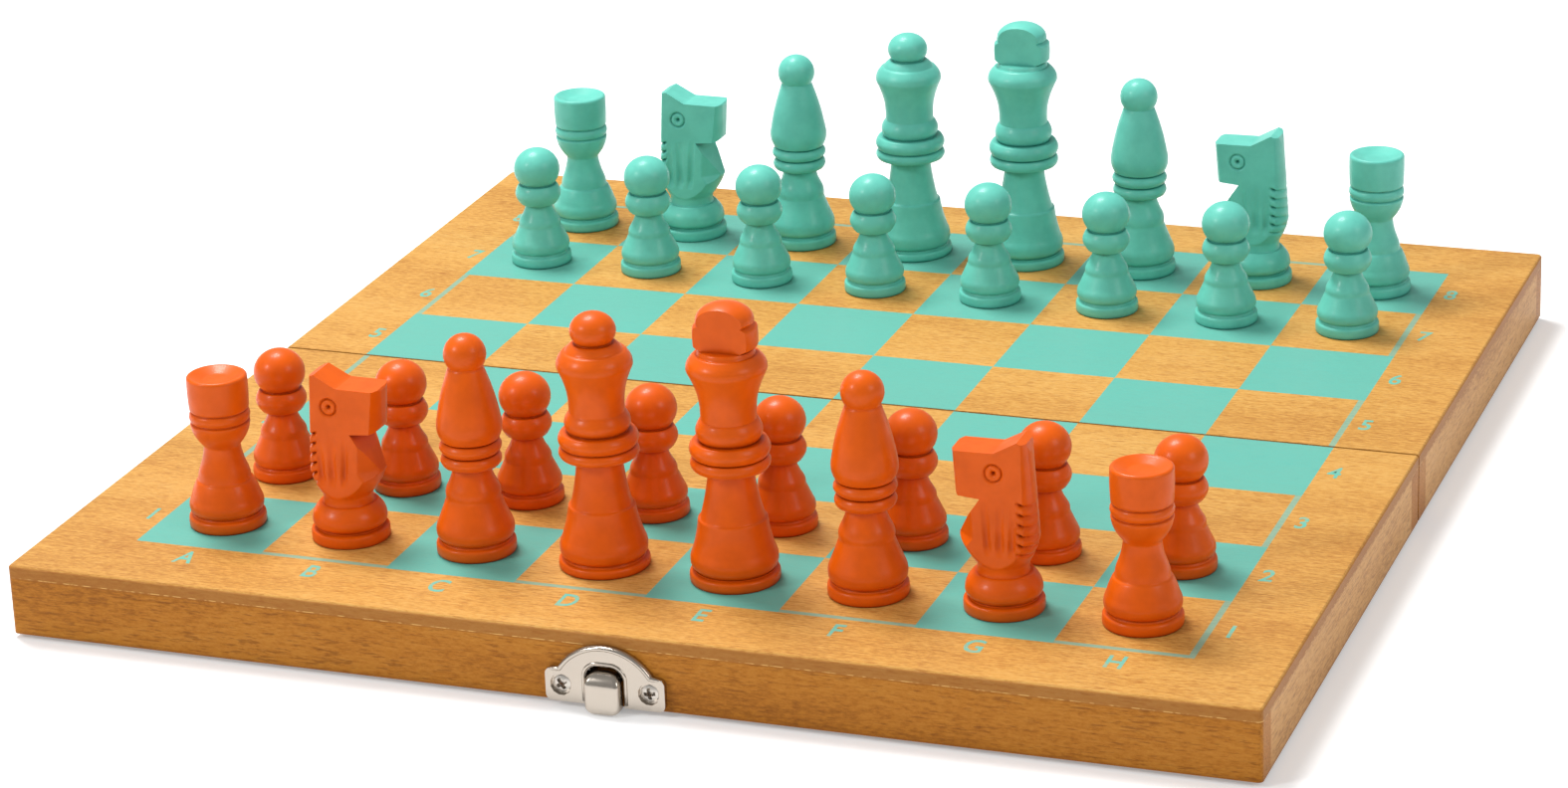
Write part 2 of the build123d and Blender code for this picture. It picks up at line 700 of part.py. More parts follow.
os.makedirs("parts", exist_ok=True)
parts = board_parts() | hinge_parts() | clasp_parts()
parts |= set_of_men("orange", 0, 1) | set_of_men("teal", 7, 6)
parts["orange_draughts"] = draughts(0)
parts["teal_draughts"] = draughts(DRAUGHT_ROWS)
for name, shape in parts.items():
    export_step(shape, f"parts/{name}.step")
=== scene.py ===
import math

import bmesh
import bpy
import numpy as np
from mathutils import Matrix, Vector


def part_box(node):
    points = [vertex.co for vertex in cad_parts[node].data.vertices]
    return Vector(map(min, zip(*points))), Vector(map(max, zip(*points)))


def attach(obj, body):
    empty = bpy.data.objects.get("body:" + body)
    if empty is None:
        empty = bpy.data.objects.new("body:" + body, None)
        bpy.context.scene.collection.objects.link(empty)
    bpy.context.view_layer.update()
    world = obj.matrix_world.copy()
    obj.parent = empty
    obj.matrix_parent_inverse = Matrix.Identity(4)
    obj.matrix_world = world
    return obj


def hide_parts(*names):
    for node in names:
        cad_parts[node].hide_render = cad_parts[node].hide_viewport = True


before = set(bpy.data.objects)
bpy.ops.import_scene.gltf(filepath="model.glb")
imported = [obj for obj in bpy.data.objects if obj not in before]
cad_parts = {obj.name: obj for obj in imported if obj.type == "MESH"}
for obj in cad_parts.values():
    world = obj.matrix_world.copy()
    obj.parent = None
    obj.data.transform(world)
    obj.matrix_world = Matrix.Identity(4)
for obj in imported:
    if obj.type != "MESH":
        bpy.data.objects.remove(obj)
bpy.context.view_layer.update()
MM = 0.001


# Play surfaces: two thin panels of honey stained wood, one on each half of the case. The squares and the
# band round them are printed in teal straight on the wood, so the fibres show faintly through the print.

SQUARE = 31 * MM
GRID_HALF = 4 * SQUARE
GRID_SHIFT = 1 * MM
BAND_W = 1.5 * MM
BAND_INK = 0.72
PRINT_WAVER = 0.12 * MM
PANEL_FIGURE = 0.6
TOP_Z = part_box("front_board")[1].z
PANEL_UNDER_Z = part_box("front_board")[0].z


def linear(red, green, blue):
    """A screen colour of 0 to 255 as the linear colour that the shaders take."""
    return tuple((c / 255) ** 2.2 for c in (red, green, blue)) + (1.0,)


WOOD_PALE = linear(216, 170, 98)
WOOD_MID = linear(202, 148, 74)
WOOD_DARK = linear(160, 102, 42)
EDGE_BROWN = linear(150, 90, 34)
PRINT_TEAL = linear(84, 176, 164)


def plug(tree, source, target):
    """Joins a socket, or sets a plain value, to another socket."""
    if isinstance(source, bpy.types.NodeSocket):
        tree.links.new(source, target)
    else:
        target.default_value = source


def sum_of(tree, operation, *values):
    """One Math node with its values joined or set."""
    node = tree.nodes.new("ShaderNodeMath")
    node.operation = operation
    for value, socket in zip(values, node.inputs):
        plug(tree, value, socket)
    return node.outputs[0]


def blend_of(tree, share, first, second):
    """Colour mixed from two others by a share."""
    node = tree.nodes.new("ShaderNodeMix")
    node.data_type = "RGBA"
    plug(tree, share, node.inputs[0])
    plug(tree, first, node.inputs[6])
    plug(tree, second, node.inputs[7])
    return node.outputs[2]


def noise_of(tree, place, scale, detail=4.0, rough=0.55):
    """Soft noise from 0 to 1 at a place."""
    node = tree.nodes.new("ShaderNodeTexNoise")
    plug(tree, place, node.inputs["Vector"])
    node.inputs["Scale"].default_value = scale
    node.inputs["Detail"].default_value = detail
    node.inputs["Roughness"].default_value = rough
    return node.outputs["Fac"]


def stretched(tree, place, scale, shift=(0, 0, 0)):
    """A place with each axis scaled and moved, so that what is drawn there is drawn out or squeezed."""
    node = tree.nodes.new("ShaderNodeMapping")
    plug(tree, place, node.inputs["Vector"])
    node.inputs["Scale"].default_value = scale
    node.inputs["Location"].default_value = shift
    return node.outputs[0]


def fade(tree, value, low, high):
    """0 below low, 1 above high and smooth between."""
    node = tree.nodes.new("ShaderNodeMapRange")
    node.interpolation_type = "SMOOTHSTEP"
    plug(tree, value, node.inputs["Value"])
    node.inputs["From Min"].default_value = low
    node.inputs["From Max"].default_value = high
    return node.outputs[0]


def effect(name, inputs, outputs):
    """An empty shader node group with its input and output sockets."""
    group = bpy.data.node_groups.new(name, "ShaderNodeTree")
    for label, kind in inputs:
        group.interface.new_socket(label, in_out="INPUT", socket_type=kind)
    for label, kind in outputs:
        group.interface.new_socket(label, in_out="OUTPUT", socket_type=kind)
    return group, group.nodes.new("NodeGroupInput"), group.nodes.new("NodeGroupOutput")


def wood_grain_group():
    """Grain that runs along X: slow figure in bands, fine fibres and short dark pores."""
    group, given, result = effect(
        "wood grain",
        [("Place", "NodeSocketVector"), ("Figure", "NodeSocketFloat")],
        [("Tone", "NodeSocketFloat"), ("Pores", "NodeSocketFloat"), ("Height", "NodeSocketFloat")],
    )
    place = given.outputs["Place"]
    drift = noise_of(group, stretched(group, place, (1.5, 16, 16)), 1.0, 3)
    bands = sum_of(group, "SINE", sum_of(group, "MULTIPLY", drift, 38))
    bands = sum_of(group, "MULTIPLY", bands, given.outputs["Figure"])
    cloud = noise_of(group, stretched(group, place, (9, 42, 42), (3, 1, 2)), 1.0, 4)
    fibres = noise_of(group, stretched(group, place, (130, 1900, 1900)), 1.0, 5, 0.65)
    speckle = noise_of(group, stretched(group, place, (620, 1900, 1900), (5, 0, 0)), 1.0, 3, 0.7)
    tone = sum_of(group, "MULTIPLY_ADD", bands, 0.03, sum_of(group, "MULTIPLY", cloud, 0.38))
    tone = sum_of(group, "MULTIPLY_ADD", fibres, 0.34, tone)
    tone = sum_of(group, "MULTIPLY_ADD", speckle, 0.55, tone)
    plug(group, fade(group, tone, 0.32, 0.94), result.inputs["Tone"])
    dashes = noise_of(group, stretched(group, place, (260, 2300, 2300), (1, 4, 2)), 1.0, 3, 0.6)
    patches = noise_of(group, stretched(group, place, (14, 60, 60), (7, 7, 7)), 1.0, 2)
    dashes = sum_of(group, "MULTIPLY_ADD", patches, 0.18, dashes)
    pores = fade(group, dashes, 0.62, 0.76)
    plug(group, pores, result.inputs["Pores"])
    sunk = sum_of(group, "MULTIPLY", pores, 0.6)
    plug(group, sum_of(group, "SUBTRACT", fibres, sunk), result.inputs["Height"])
    return group


WOOD_GRAIN = wood_grain_group()


def finish(name):
    """A new material with its node tree and its Principled shader."""
    material = bpy.data.materials.new(name)
    material.use_nodes = True
    return material, material.node_tree, material.node_tree.nodes["Principled BSDF"]


def object_place(tree):
    """Object coordinates, which follow the piece."""
    return tree.nodes.new("ShaderNodeTexCoord").outputs["Object"]


def place_in(tree, group, **values):
    """A copy of an effect in a material, with its inputs joined or set."""
    node = tree.nodes.new("ShaderNodeGroup")
    node.node_tree = group
    for label, value in values.items():
        plug(tree, value, node.inputs[label])
    return node.outputs


def raise_by(tree, shader, height, distance, strength=0.6):
    """Relief on a shader's surface."""
    bump = tree.nodes.new("ShaderNodeBump")
    bump.inputs["Strength"].default_value = strength
    bump.inputs["Distance"].default_value = distance
    plug(tree, height, bump.inputs["Height"])
    plug(tree, bump.outputs[0], shader.inputs["Normal"])


def print_mask(tree, place):
    """1 where the teal print lies: every other square, and the band inside the grid's edge."""
    axes = tree.nodes.new("ShaderNodeSeparateXYZ")
    waver = noise_of(tree, place, 900, 3)
    plug(tree, place, axes.inputs[0])
    from_middle = sum_of(tree, "SUBTRACT", axes.outputs[0], GRID_SHIFT)
    x = sum_of(tree, "MULTIPLY_ADD", waver, PRINT_WAVER, from_middle)
    y = sum_of(tree, "MULTIPLY_ADD", waver, PRINT_WAVER, axes.outputs[1])
    steps = [sum_of(tree, "FLOOR", sum_of(tree, "DIVIDE", axis, SQUARE)) for axis in (x, y)]
    odd = sum_of(tree, "PINGPONG", sum_of(tree, "ADD", *steps), 1.0)
    reach = sum_of(tree, "MAXIMUM", sum_of(tree, "ABSOLUTE", x), sum_of(tree, "ABSOLUTE", y))
    inside = sum_of(tree, "LESS_THAN", reach, GRID_HALF)
    band = sum_of(tree, "GREATER_THAN", reach, GRID_HALF - BAND_W)
    square = sum_of(tree, "SUBTRACT", 1.0, odd)
    ink = sum_of(tree, "MAXIMUM", square, sum_of(tree, "MULTIPLY", band, BAND_INK))
    on_top = sum_of(tree, "GREATER_THAN", axes.outputs[2], TOP_Z - 0.05 * MM)
    return sum_of(tree, "MULTIPLY", sum_of(tree, "MULTIPLY", ink, inside), on_top)


def height_of(tree):
    """Height above the table."""
    axes = tree.nodes.new("ShaderNodeSeparateXYZ")
    plug(tree, object_place(tree), axes.inputs[0])
    return axes.outputs[2]


def stained_wood(name, turn, figure, pale, mid, dark, shift=(0, 0, 0)):
    """Stained wood with its grain along X, or along Y where it is turned by a quarter."""
    material, tree, shader = finish(name)
    place = object_place(tree)
    turned = tree.nodes.new("ShaderNodeMapping")
    turned.inputs["Rotation"].default_value = (0, 0, turn)
    turned.inputs["Location"].default_value = shift
    plug(tree, place, turned.inputs["Vector"])
    grain = place_in(tree, WOOD_GRAIN, Place=turned.outputs[0], Figure=figure)
    ramp = tree.nodes.new("ShaderNodeValToRGB")
    ramp.color_ramp.elements[0].color = dark
    ramp.color_ramp.elements[1].color = pale
    middle = ramp.color_ramp.elements.new(0.5)
    middle.color = mid
    plug(tree, grain["Tone"], ramp.inputs[0])
    colour = blend_of(tree, sum_of(tree, "MULTIPLY", grain["Pores"], 0.65), ramp.outputs[0], dark)
    plug(tree, colour, shader.inputs["Base Color"])
    plug(tree, sum_of(tree, "MULTIPLY_ADD", grain["Tone"], -0.12, 0.52), shader.inputs["Roughness"])
    raise_by(tree, shader, grain["Height"], 0.05 * MM)
    shader.inputs["Specular IOR Level"].default_value = 0.2
    return material, tree, shader, grain, colour


def board_finish():
    """Panel wood with the printed squares over it, a browner top edge and pale glue showing here and there
    along the joint below."""
    material, tree, shader, grain, wood = stained_wood(
        "honey board", 0, PANEL_FIGURE, WOOD_PALE, WOOD_MID, WOOD_DARK,
    )
    ink = print_mask(tree, object_place(tree))
    cover = sum_of(tree, "MULTIPLY", ink, sum_of(tree, "MULTIPLY_ADD", grain["Tone"], 0.10, 0.86))
    height = height_of(tree)
    above_edge = fade(tree, height, TOP_Z - 0.45 * MM, TOP_Z - 0.1 * MM)
    above_joint = fade(tree, height, PANEL_UNDER_Z + 0.1 * MM, PANEL_UNDER_Z + 0.3 * MM)
    edge = sum_of(tree, "SUBTRACT", 1.0, above_edge)
    joint = sum_of(tree, "SUBTRACT", 1.0, above_joint)
    glue = noise_of(tree, stretched(tree, object_place(tree), (420, 420, 60)), 1.0, 2)
    wood = blend_of(tree, sum_of(tree, "MULTIPLY", edge, 0.72), wood, EDGE_BROWN)
    wood = blend_of(tree, sum_of(tree, "MULTIPLY", joint, fade(tree, glue, 0.42, 0.6)), wood, WOOD_PALE)
    plug(tree, blend_of(tree, cover, wood, PRINT_TEAL), shader.inputs["Base Color"])
    rough = sum_of(tree, "MULTIPLY_ADD", ink, -0.06, 0.48)
    plug(tree, rough, shader.inputs["Roughness"])
    return material


BOARD_FINISH = board_finish()


def dress(node, material):
    """Puts a finish on a piece that keeps its solid form."""
    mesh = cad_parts[node].data
    mesh.materials.clear()
    mesh.materials.append(material)


for half in ("front", "rear"):
    dress(f"{half}_board", BOARD_FINISH)


# Letters and numbers: plain capitals along the front margin and numbers up both side margins, printed in
# the same teal. Each half carries its own, because the case folds between ranks four and five.

LETTER_H = 6.3 * MM
LETTER_BOLD = 0.16 * MM
LETTER_NARROW = 0.72
INK_T = 0.02 * MM
LETTERS_OUT = 5.9 * MM
NUMBERS_LEFT = 3.7 * MM
NUMBERS_RIGHT = 3.9 * MM
FONT_CAP_SHARE = 0.70


def print_ink():
    """Thin teal print with the wood showing through it here and there."""
    material, tree, shader = finish("printed letters")
    place = object_place(tree)
    worn = fade(tree, noise_of(tree, stretched(tree, place, (300, 1500, 1500)), 1.0, 4), 0.45, 0.75)
    colour = blend_of(tree, sum_of(tree, "MULTIPLY", worn, 0.55), linear(96, 178, 160), WOOD_MID)
    plug(tree, colour, shader.inputs["Base Color"])
    shader.inputs["Roughness"].default_value = 0.5
    return material


PRINT_INK = print_ink()


def letters(name, signs, body):
    """Prints each sign flat on the board, centred on its place, and joins them as one piece."""
    copies = bmesh.new()
    for sign, x, y in signs:
        curve = bpy.data.curves.new(sign, "FONT")
        curve.body = sign
        curve.size = LETTER_H / FONT_CAP_SHARE
        curve.extrude = INK_T / 2
        curve.offset = LETTER_BOLD
        curve.align_x = "CENTER"
        curve.resolution_u = 4
        text = bpy.data.objects.new(sign, curve)
        bpy.context.scene.collection.objects.link(text)
        bpy.context.view_layer.update()
        flat = bpy.data.meshes.new_from_object(text)
        place = Matrix.Translation((x, y - LETTER_H / 2, TOP_Z + INK_T / 2))
        flat.transform(place @ Matrix.Diagonal((LETTER_NARROW, 1, 1, 1)))
        copies.from_mesh(flat)
        bpy.data.objects.remove(text)
    mesh = bpy.data.meshes.new(name)
    copies.to_mesh(mesh)
    mesh.materials.append(PRINT_INK)
    piece = bpy.data.objects.new(name, mesh)
    bpy.context.scene.collection.objects.link(piece)
    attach(piece, body)


def rank_signs(ranks):
    """Numbers in both side margins, with their places."""
    left = GRID_SHIFT - GRID_HALF - NUMBERS_LEFT
    right = GRID_SHIFT + GRID_HALF + NUMBERS_RIGHT
    return [(str(rank), x, (rank - 4.5) * SQUARE) for rank in ranks for x in (left, right)]


file_signs = [
    ("ABCDEFGH"[k], GRID_SHIFT + (k - 3.5) * SQUARE, -GRID_HALF - LETTERS_OUT) for k in range(8)
]
letters("front_letters", file_signs + rank_signs((1, 2, 3, 4)), "front_half")
letters("rear_numbers", rank_signs((5, 6, 7, 8)), "rear_half")


# Rails: four strips of solid wood under each panel, the long ones the full width and the short ones butted
# between them. They are stained a deeper brown than the panels and show end grain at the case's sides.

RAIL_PALE = linear(194, 131, 50)
RAIL_MID = linear(177, 111, 34)
RAIL_DARK = linear(124, 71, 18)
# Painted light: the short rails, which form the sides of the case, take a paler copy of the rail stain for the
# light on those sides.
LIT_SIDE_PALE = linear(216, 164, 98)
LIT_SIDE_MID = linear(202, 147, 83)
LIT_SIDE_DARK = linear(156, 104, 50)
RAIL_FIGURE = 1.2
QUARTER = math.pi / 2

RIM_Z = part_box("front_outer_rail")[0].z


def rail_finish(name, turn, pale, mid, dark, shift):
    """Rail wood with a dark line at the glued joint below the panel and painted shade along its lower edge,
    next to the table.
    """
    material, tree, shader, _, wood = stained_wood(name, turn, RAIL_FIGURE, pale, mid, dark, shift)
    height = height_of(tree)
    joint = fade(tree, height, PANEL_UNDER_Z - 0.45 * MM, PANEL_UNDER_Z - 0.05 * MM)
    # Painted shade: the lowest 0.9 mm of each rail, next to the table, is darkened towards edge brown.
    foot = sum_of(tree, "SUBTRACT", 1.0, fade(tree, height, RIM_Z + 0.1 * MM, RIM_Z + 0.9 * MM))
    shade = sum_of(tree, "MULTIPLY", sum_of(tree, "ADD", joint, foot), 0.6)
    plug(tree, blend_of(tree, shade, wood, EDGE_BROWN), shader.inputs["Base Color"])
    return material


LONG_RAIL = rail_finish("long rail", 0, RAIL_PALE, RAIL_MID, RAIL_DARK, (0.3, 0.2, 0.1))
# The short rails' finish is the paler copy: painted light on the sides of the case, with the grain turned
# along Y.
LIT_SHORT_RAIL = rail_finish("lit short rail", QUARTER, LIT_SIDE_PALE, LIT_SIDE_MID, LIT_SIDE_DARK, (0.7, 0.1, 0.4))
for half in ("front", "rear"):
    for rail in ("outer", "seam"):
        dress(f"{half}_{rail}_rail", LONG_RAIL)
    for side in ("left", "right"):
        dress(f"{half}_{side}_rail", LIT_SHORT_RAIL)


# Hinges: two small butt hinges of plated steel let into the seam rails from below, each with a pin through
# three knuckles and two countersunk screws in each leaf.

STEEL = linear(196, 194, 188)


def plated_steel(name, colour, roughness, streak):
    """Plated steel with fine rolling streaks along X and cloudy handling marks."""
    material, tree, shader = finish(name)
    place = object_place(tree)
    streaks = noise_of(tree, stretched(tree, place, (400, 5200, 5200)), 1.0, 3)
    cloud = noise_of(tree, place, 150, 3)
    rough = sum_of(tree, "MULTIPLY_ADD", streaks, streak, roughness - streak / 2)
    rough = sum_of(tree, "MULTIPLY_ADD", cloud, 0.08, rough)
    plug(tree, rough, shader.inputs["Roughness"])
    shade = tuple(c * 0.88 for c in colour[:3]) + (1.0,)
    plug(tree, blend_of(tree, cloud, shade, colour), shader.inputs["Base Color"])
    shader.inputs["Metallic"].default_value = 1.0
    raise_by(tree, shader, streaks, 0.004 * MM, 0.25)
    return material


HINGE_STEEL = plated_steel("hinge steel", STEEL, 0.34, 0.16)
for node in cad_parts:
    if "hinge" in node:
        dress(node, HINGE_STEEL)
for node in ("clasp_pin", "catch_plate", "catch_screws"):
    dress(node, HINGE_STEEL)


# Turned men: beech pieces turned on a lathe and dipped in satin paint, orange for one side and teal for the
# other. The paint rounds every corner a little, and shade is painted into its colour in the grooves and
# hollows.

LATHE_STEP = 0.10 * MM
PROFILE_STEP = 0.30 * MM
CORNER_SOFTNESS = 0.13 * MM
HOLLOW_SHADE_REACH = 2.2 * MM
SIDES_ROUND = 72
ORANGE = linear(226, 94, 4)
ORANGE_DEEP = linear(138, 42, 2)
TEAL = linear(106, 200, 183)
TEAL_DEEP = linear(25, 116, 104)


def paint_group():
    """Paint on turned wood: slow cloudy tone, fine lathe rings and a little orange peel."""
    group, given, result = effect(
        "paint on turned wood",
        [("Place", "NodeSocketVector")],
        [("Tone", "NodeSocketFloat"), ("Height", "NodeSocketFloat")],
    )
    place = given.outputs["Place"]
    cloud = noise_of(group, place, 190, 3)
    rings = noise_of(group, stretched(group, place, (40, 40, 2600)), 1.0, 2)
    peel = noise_of(group, place, 1500, 2)
    plug(group, fade(group, cloud, 0.30, 0.72), result.inputs["Tone"])
    height = sum_of(group, "MULTIPLY_ADD", rings, 0.8, sum_of(group, "MULTIPLY", peel, 0.7))
    plug(group, sum_of(group, "ADD", height, cloud), result.inputs["Height"])
    return group


PAINT = paint_group()


def satin_paint(name, colour, deep):
    """Satin paint, with painted shade that darkens it towards its deep tone in the hollows of a turned piece.
    """
    material, tree, shader = finish(name)
    place = object_place(tree)
    paint = place_in(tree, PAINT, Place=place)
    # Painted shade: ambient occlusion within a short reach pulls the colour towards the deep tone in grooves
    # and under bulges.
    hollow_shade = tree.nodes.new("ShaderNodeAmbientOcclusion")
    hollow_shade.inputs["Distance"].default_value = HOLLOW_SHADE_REACH
    hollow_shade.samples = 8
    shade = sum_of(tree, "SUBTRACT", 1.0, fade(tree, hollow_shade.outputs["AO"], 0.15, 0.85))
    tone = blend_of(tree, sum_of(tree, "MULTIPLY", paint["Tone"], 0.16), colour, deep)
    tone = blend_of(tree, sum_of(tree, "MULTIPLY", shade, 0.90), tone, deep)
    plug(tree, tone, shader.inputs["Base Color"])
    plug(tree, sum_of(tree, "MULTIPLY_ADD", paint["Tone"], 0.10, 0.36), shader.inputs["Roughness"])
    raise_by(tree, shader, paint["Height"], 0.035 * MM, 0.5)
    shader.inputs["Specular IOR Level"].default_value = 0.18
    shader.inputs["Coat Weight"].default_value = 0.12
    shader.inputs["Coat Roughness"].default_value = 0.16
    return material


PAINTS = {
    "orange": satin_paint("orange paint", ORANGE, ORANGE_DEEP),
    "teal": satin_paint("teal paint", TEAL, TEAL_DEEP),
}


def turned_profile(stretches, ball=None):
    """Radii and heights of a turned piece. Along each stretch the radius runs straight from start to end plus
    its swell times half a sine wave. A ball is an ellipse cut off where it stands. The corners are then
    softened by a Gaussian blur along the profile, as the paint softens them."""
    share = np.linspace(0, 1, 25)
    radii, heights, z = [np.zeros(1)], [np.zeros(1)], 0.0
    for height, start, end, swell in stretches:
        radii.append(start + (end - start) * share + swell * np.sin(np.pi * share))
        heights.append(z + height * share)
        z += height
    if ball:
        radius, height, rise = ball
        upright = height - rise
        turn = np.linspace(-math.asin(rise / upright), math.pi / 2, 60)
        radii.append(radius * np.cos(turn))
        heights.append(z + rise + upright * np.sin(turn))
        z += height
    radii = np.append(np.concatenate(radii), 0.0) * MM
    heights = np.append(np.concatenate(heights), heights[-1][-1]) * MM
    return softened(radii, heights)


def softened(radii, heights):
    """The profile resampled evenly along its length, blurred, and thinned to the mesh's spacing."""
    travel = np.append(0.0, np.cumsum(np.hypot(np.diff(radii), np.diff(heights))))
    even = np.arange(0, travel[-1], LATHE_STEP)
    radii, heights = np.interp(even, travel, radii), np.interp(even, travel, heights)
    reach = int(3 * CORNER_SOFTNESS / LATHE_STEP)
    kernel = np.exp(-0.5 * (np.arange(-reach, reach + 1) * LATHE_STEP / CORNER_SOFTNESS) ** 2)
    kernel /= kernel.sum()
    radii = np.convolve(np.pad(radii, reach, "reflect", reflect_type="odd"), kernel, "valid")
    heights = np.convolve(np.pad(heights, reach, "edge"), kernel, "valid")
    count = int(even[-1] / PROFILE_STEP)
    picks = np.linspace(0, even[-1], count)
    return np.interp(picks, even, radii)[1:-1], np.interp(picks, even, heights)[1:-1]


def skin(name, rings):
    """Mesh of closed rings joined by quads, with a fan to the middle of the first and last ring."""
    rows, columns, _ = rings.shape
    points = np.vstack([rings.reshape(-1, 3), rings[0].mean(0), rings[-1].mean(0)])
    index = np.arange(rows * columns).reshape(rows, columns)
    after = np.roll(index, -1, axis=1)
    quads = np.stack([index[:-1], after[:-1], after[1:], index[1:]], axis=-1).reshape(-1, 4)
    low = np.stack([after[0], index[0], np.full(columns, rows * columns)], axis=-1)
    high = np.stack([index[-1], after[-1], np.full(columns, rows * columns + 1)], axis=-1)
    mesh = bpy.data.meshes.new(name)
    mesh.from_pydata(points.tolist(), [], quads.tolist() + low.tolist() + high.tolist())
    mesh.shade_smooth()
    return mesh


def round_rings(radii, heights, x, y, base, sides=SIDES_ROUND):
    """Rings of a turned piece about an upright axis: radius times cosine and sine of the turn."""
    turn = np.linspace(0, 2 * np.pi, sides, endpoint=False)
    level = np.broadcast_to(heights[:, None], (len(heights), sides))
    across = radii[:, None] * np.cos(turn)
    along = radii[:, None] * np.sin(turn)
    return np.stack([x + across, y + along, base + level], axis=-1)


def set_piece(name, mesh, material, body, replaced):
    """Puts a finished mesh in the scene on its body, in place of the solids that it replaces, if any."""
    mesh.materials.append(material)
    piece = bpy.data.objects.new(name, mesh)
    bpy.context.scene.collection.objects.link(piece)
    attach(piece, body)
    for node in replaced:
        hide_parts(node)
    return piece


# Each stretch gives its height, its radius at the start and at the end, and its swell. A ball gives its
# radius, its height, and how far its middle stands above the place where it is cut off. All are in mm.
FOOT_Z = TOP_Z + 0.03 * MM
PAWN_STRETCHES = (
    (2.45, 7.8, 7.8, 0.1), (0.45, 7.8, 6.85, 0.15), (0.25, 6.85, 7.1, 0),
    (1.1, 6.7, 7.5, 0.15), (2.5, 7.5, 7.0, 0.25), (3.4, 7.0, 5.45, 0), (2.6, 5.45, 4.6, 0.3),
    (3.25, 4.6, 3.3, -0.15), (0.15, 3.3, 4.7, 0), (5.15, 4.7, 5.0, 1.1),
)
PAWN_BALL = (6.0, 9.7, 4.1)
BISHOP_STRETCHES = (
    (2.5, 8.95, 8.95, 0.1), (0.5, 8.95, 7.9, 0.15), (0.25, 7.9, 8.2, 0),
    (1.3, 7.7, 8.75, 0.2), (3.3, 8.75, 8.15, 0.3), (5.2, 8.15, 6.15, -0.05), (3.6, 6.15, 5.4, 0.38),
    (3.95, 5.4, 4.2, -0.2), (0.15, 4.2, 6.3, 0), (2.7, 6.3, 6.3, 0.6), (0.2, 6.3, 5.6, 0),
    (0.2, 5.6, 6.3, 0), (2.7, 6.3, 6.3, 0.75), (0.2, 6.3, 5.7, 0), (0.2, 5.7, 6.5, 0),
    (3.95, 6.5, 7.35, 0.35), (12.9, 7.35, 4.0, 0.35),
)
BISHOP_BALL = (4.8, 7.7, 3.0)
ROOK_STRETCHES = (
    (2.4, 8.75, 8.75, 0.1), (0.5, 8.75, 7.7, 0.15), (0.25, 7.7, 8.0, 0),
    (1.2, 7.5, 8.45, 0.2), (2.6, 8.45, 8.0, 0.25), (3.95, 8.0, 6.45, 0.12), (0.1, 6.45, 6.05, 0),
    (2.5, 6.05, 5.6, 0.1), (5.7, 5.6, 4.15, -0.25),
    (5.6, 4.15, 6.85, 0.55), (0.3, 6.85, 6.1, 0), (0.25, 6.1, 6.6, 0), (2.2, 6.6, 6.6, 0.35),
    (0.3, 6.6, 6.05, 0), (0.25, 6.05, 6.75, 0), (7.6, 6.75, 6.9, 0.1),
    (0.5, 6.9, 6.3, 0.1), (-0.3, 6.3, 5.6, 0), (-0.9, 5.6, 3.2, 0), (-0.15, 3.2, 0.1, 0),
)
QUEEN_STRETCHES = (
    (1.85, 10.15, 10.15, 0.1), (0.45, 10.15, 9.0, 0.15), (0.25, 9.0, 9.3, 0),
    (1.3, 8.8, 9.8, 0.2), (3.3, 9.8, 9.2, 0.3), (7.25, 9.2, 7.45, -0.2), (0.15, 7.5, 6.9, 0),
    (11.35, 6.9, 5.05, -0.25), (0.15, 5.05, 8.5, 0), (2.25, 8.5, 8.5, 0.5), (0.2, 8.5, 7.8, 0),
    (0.2, 7.8, 8.4, 0), (3.25, 8.4, 8.2, 0.7), (0.1, 8.2, 6.5, 0), (4.3, 6.7, 6.4, 0.85),
    (0.15, 6.4, 6.1, 0), (10.75, 6.2, 8.5, -0.75), (3.4, 8.5, 7.0, 0.45), (0.15, 7.0, 6.3, 0),
    (1.65, 6.4, 4.8, 0.2),
)
QUEEN_BALL = (5.15, 7.0, 2.8)


def square_place(file, rank):
    """Middle of a square, counted from zero."""
    return GRID_SHIFT + (file - 3.5) * SQUARE, (rank - 3.5) * SQUARE


def turned_man(name, stretches, ball, file, rank, colour):
    """A wholly turned man on its square."""
    radii, heights = turned_profile(stretches, ball)
    x, y = square_place(file, rank)
    mesh = skin(name, round_rings(radii, heights, x, y, FOOT_Z))
    set_piece(f"{name}_turned", mesh, PAINTS[colour], name, [name])


for colour, home, pawn_rank in (("orange", 0, 1), ("teal", 7, 6)):
    for file in range(8):
        turned_man(f"{colour}_pawn_{'abcdefgh'[file]}", PAWN_STRETCHES, PAWN_BALL, file, pawn_rank, colour)
    for file in (0, 7):
        turned_man(f"{colour}_rook_{'abcdefgh'[file]}", ROOK_STRETCHES, None, file, home, colour)
    for file in (2, 5):
        turned_man(f"{colour}_bishop_{'abcdefgh'[file]}", BISHOP_STRETCHES, BISHOP_BALL, file, home, colour)
    turned_man(f"{colour}_queen", QUEEN_STRETCHES, QUEEN_BALL, 3, home, colour)


# Kings: turned like the queens, with a tall finial in place of the ball. Two flats are sawn on the finial,
# so that it shows a square block with a rounded cap, and the turned groove between them shows at the sides.

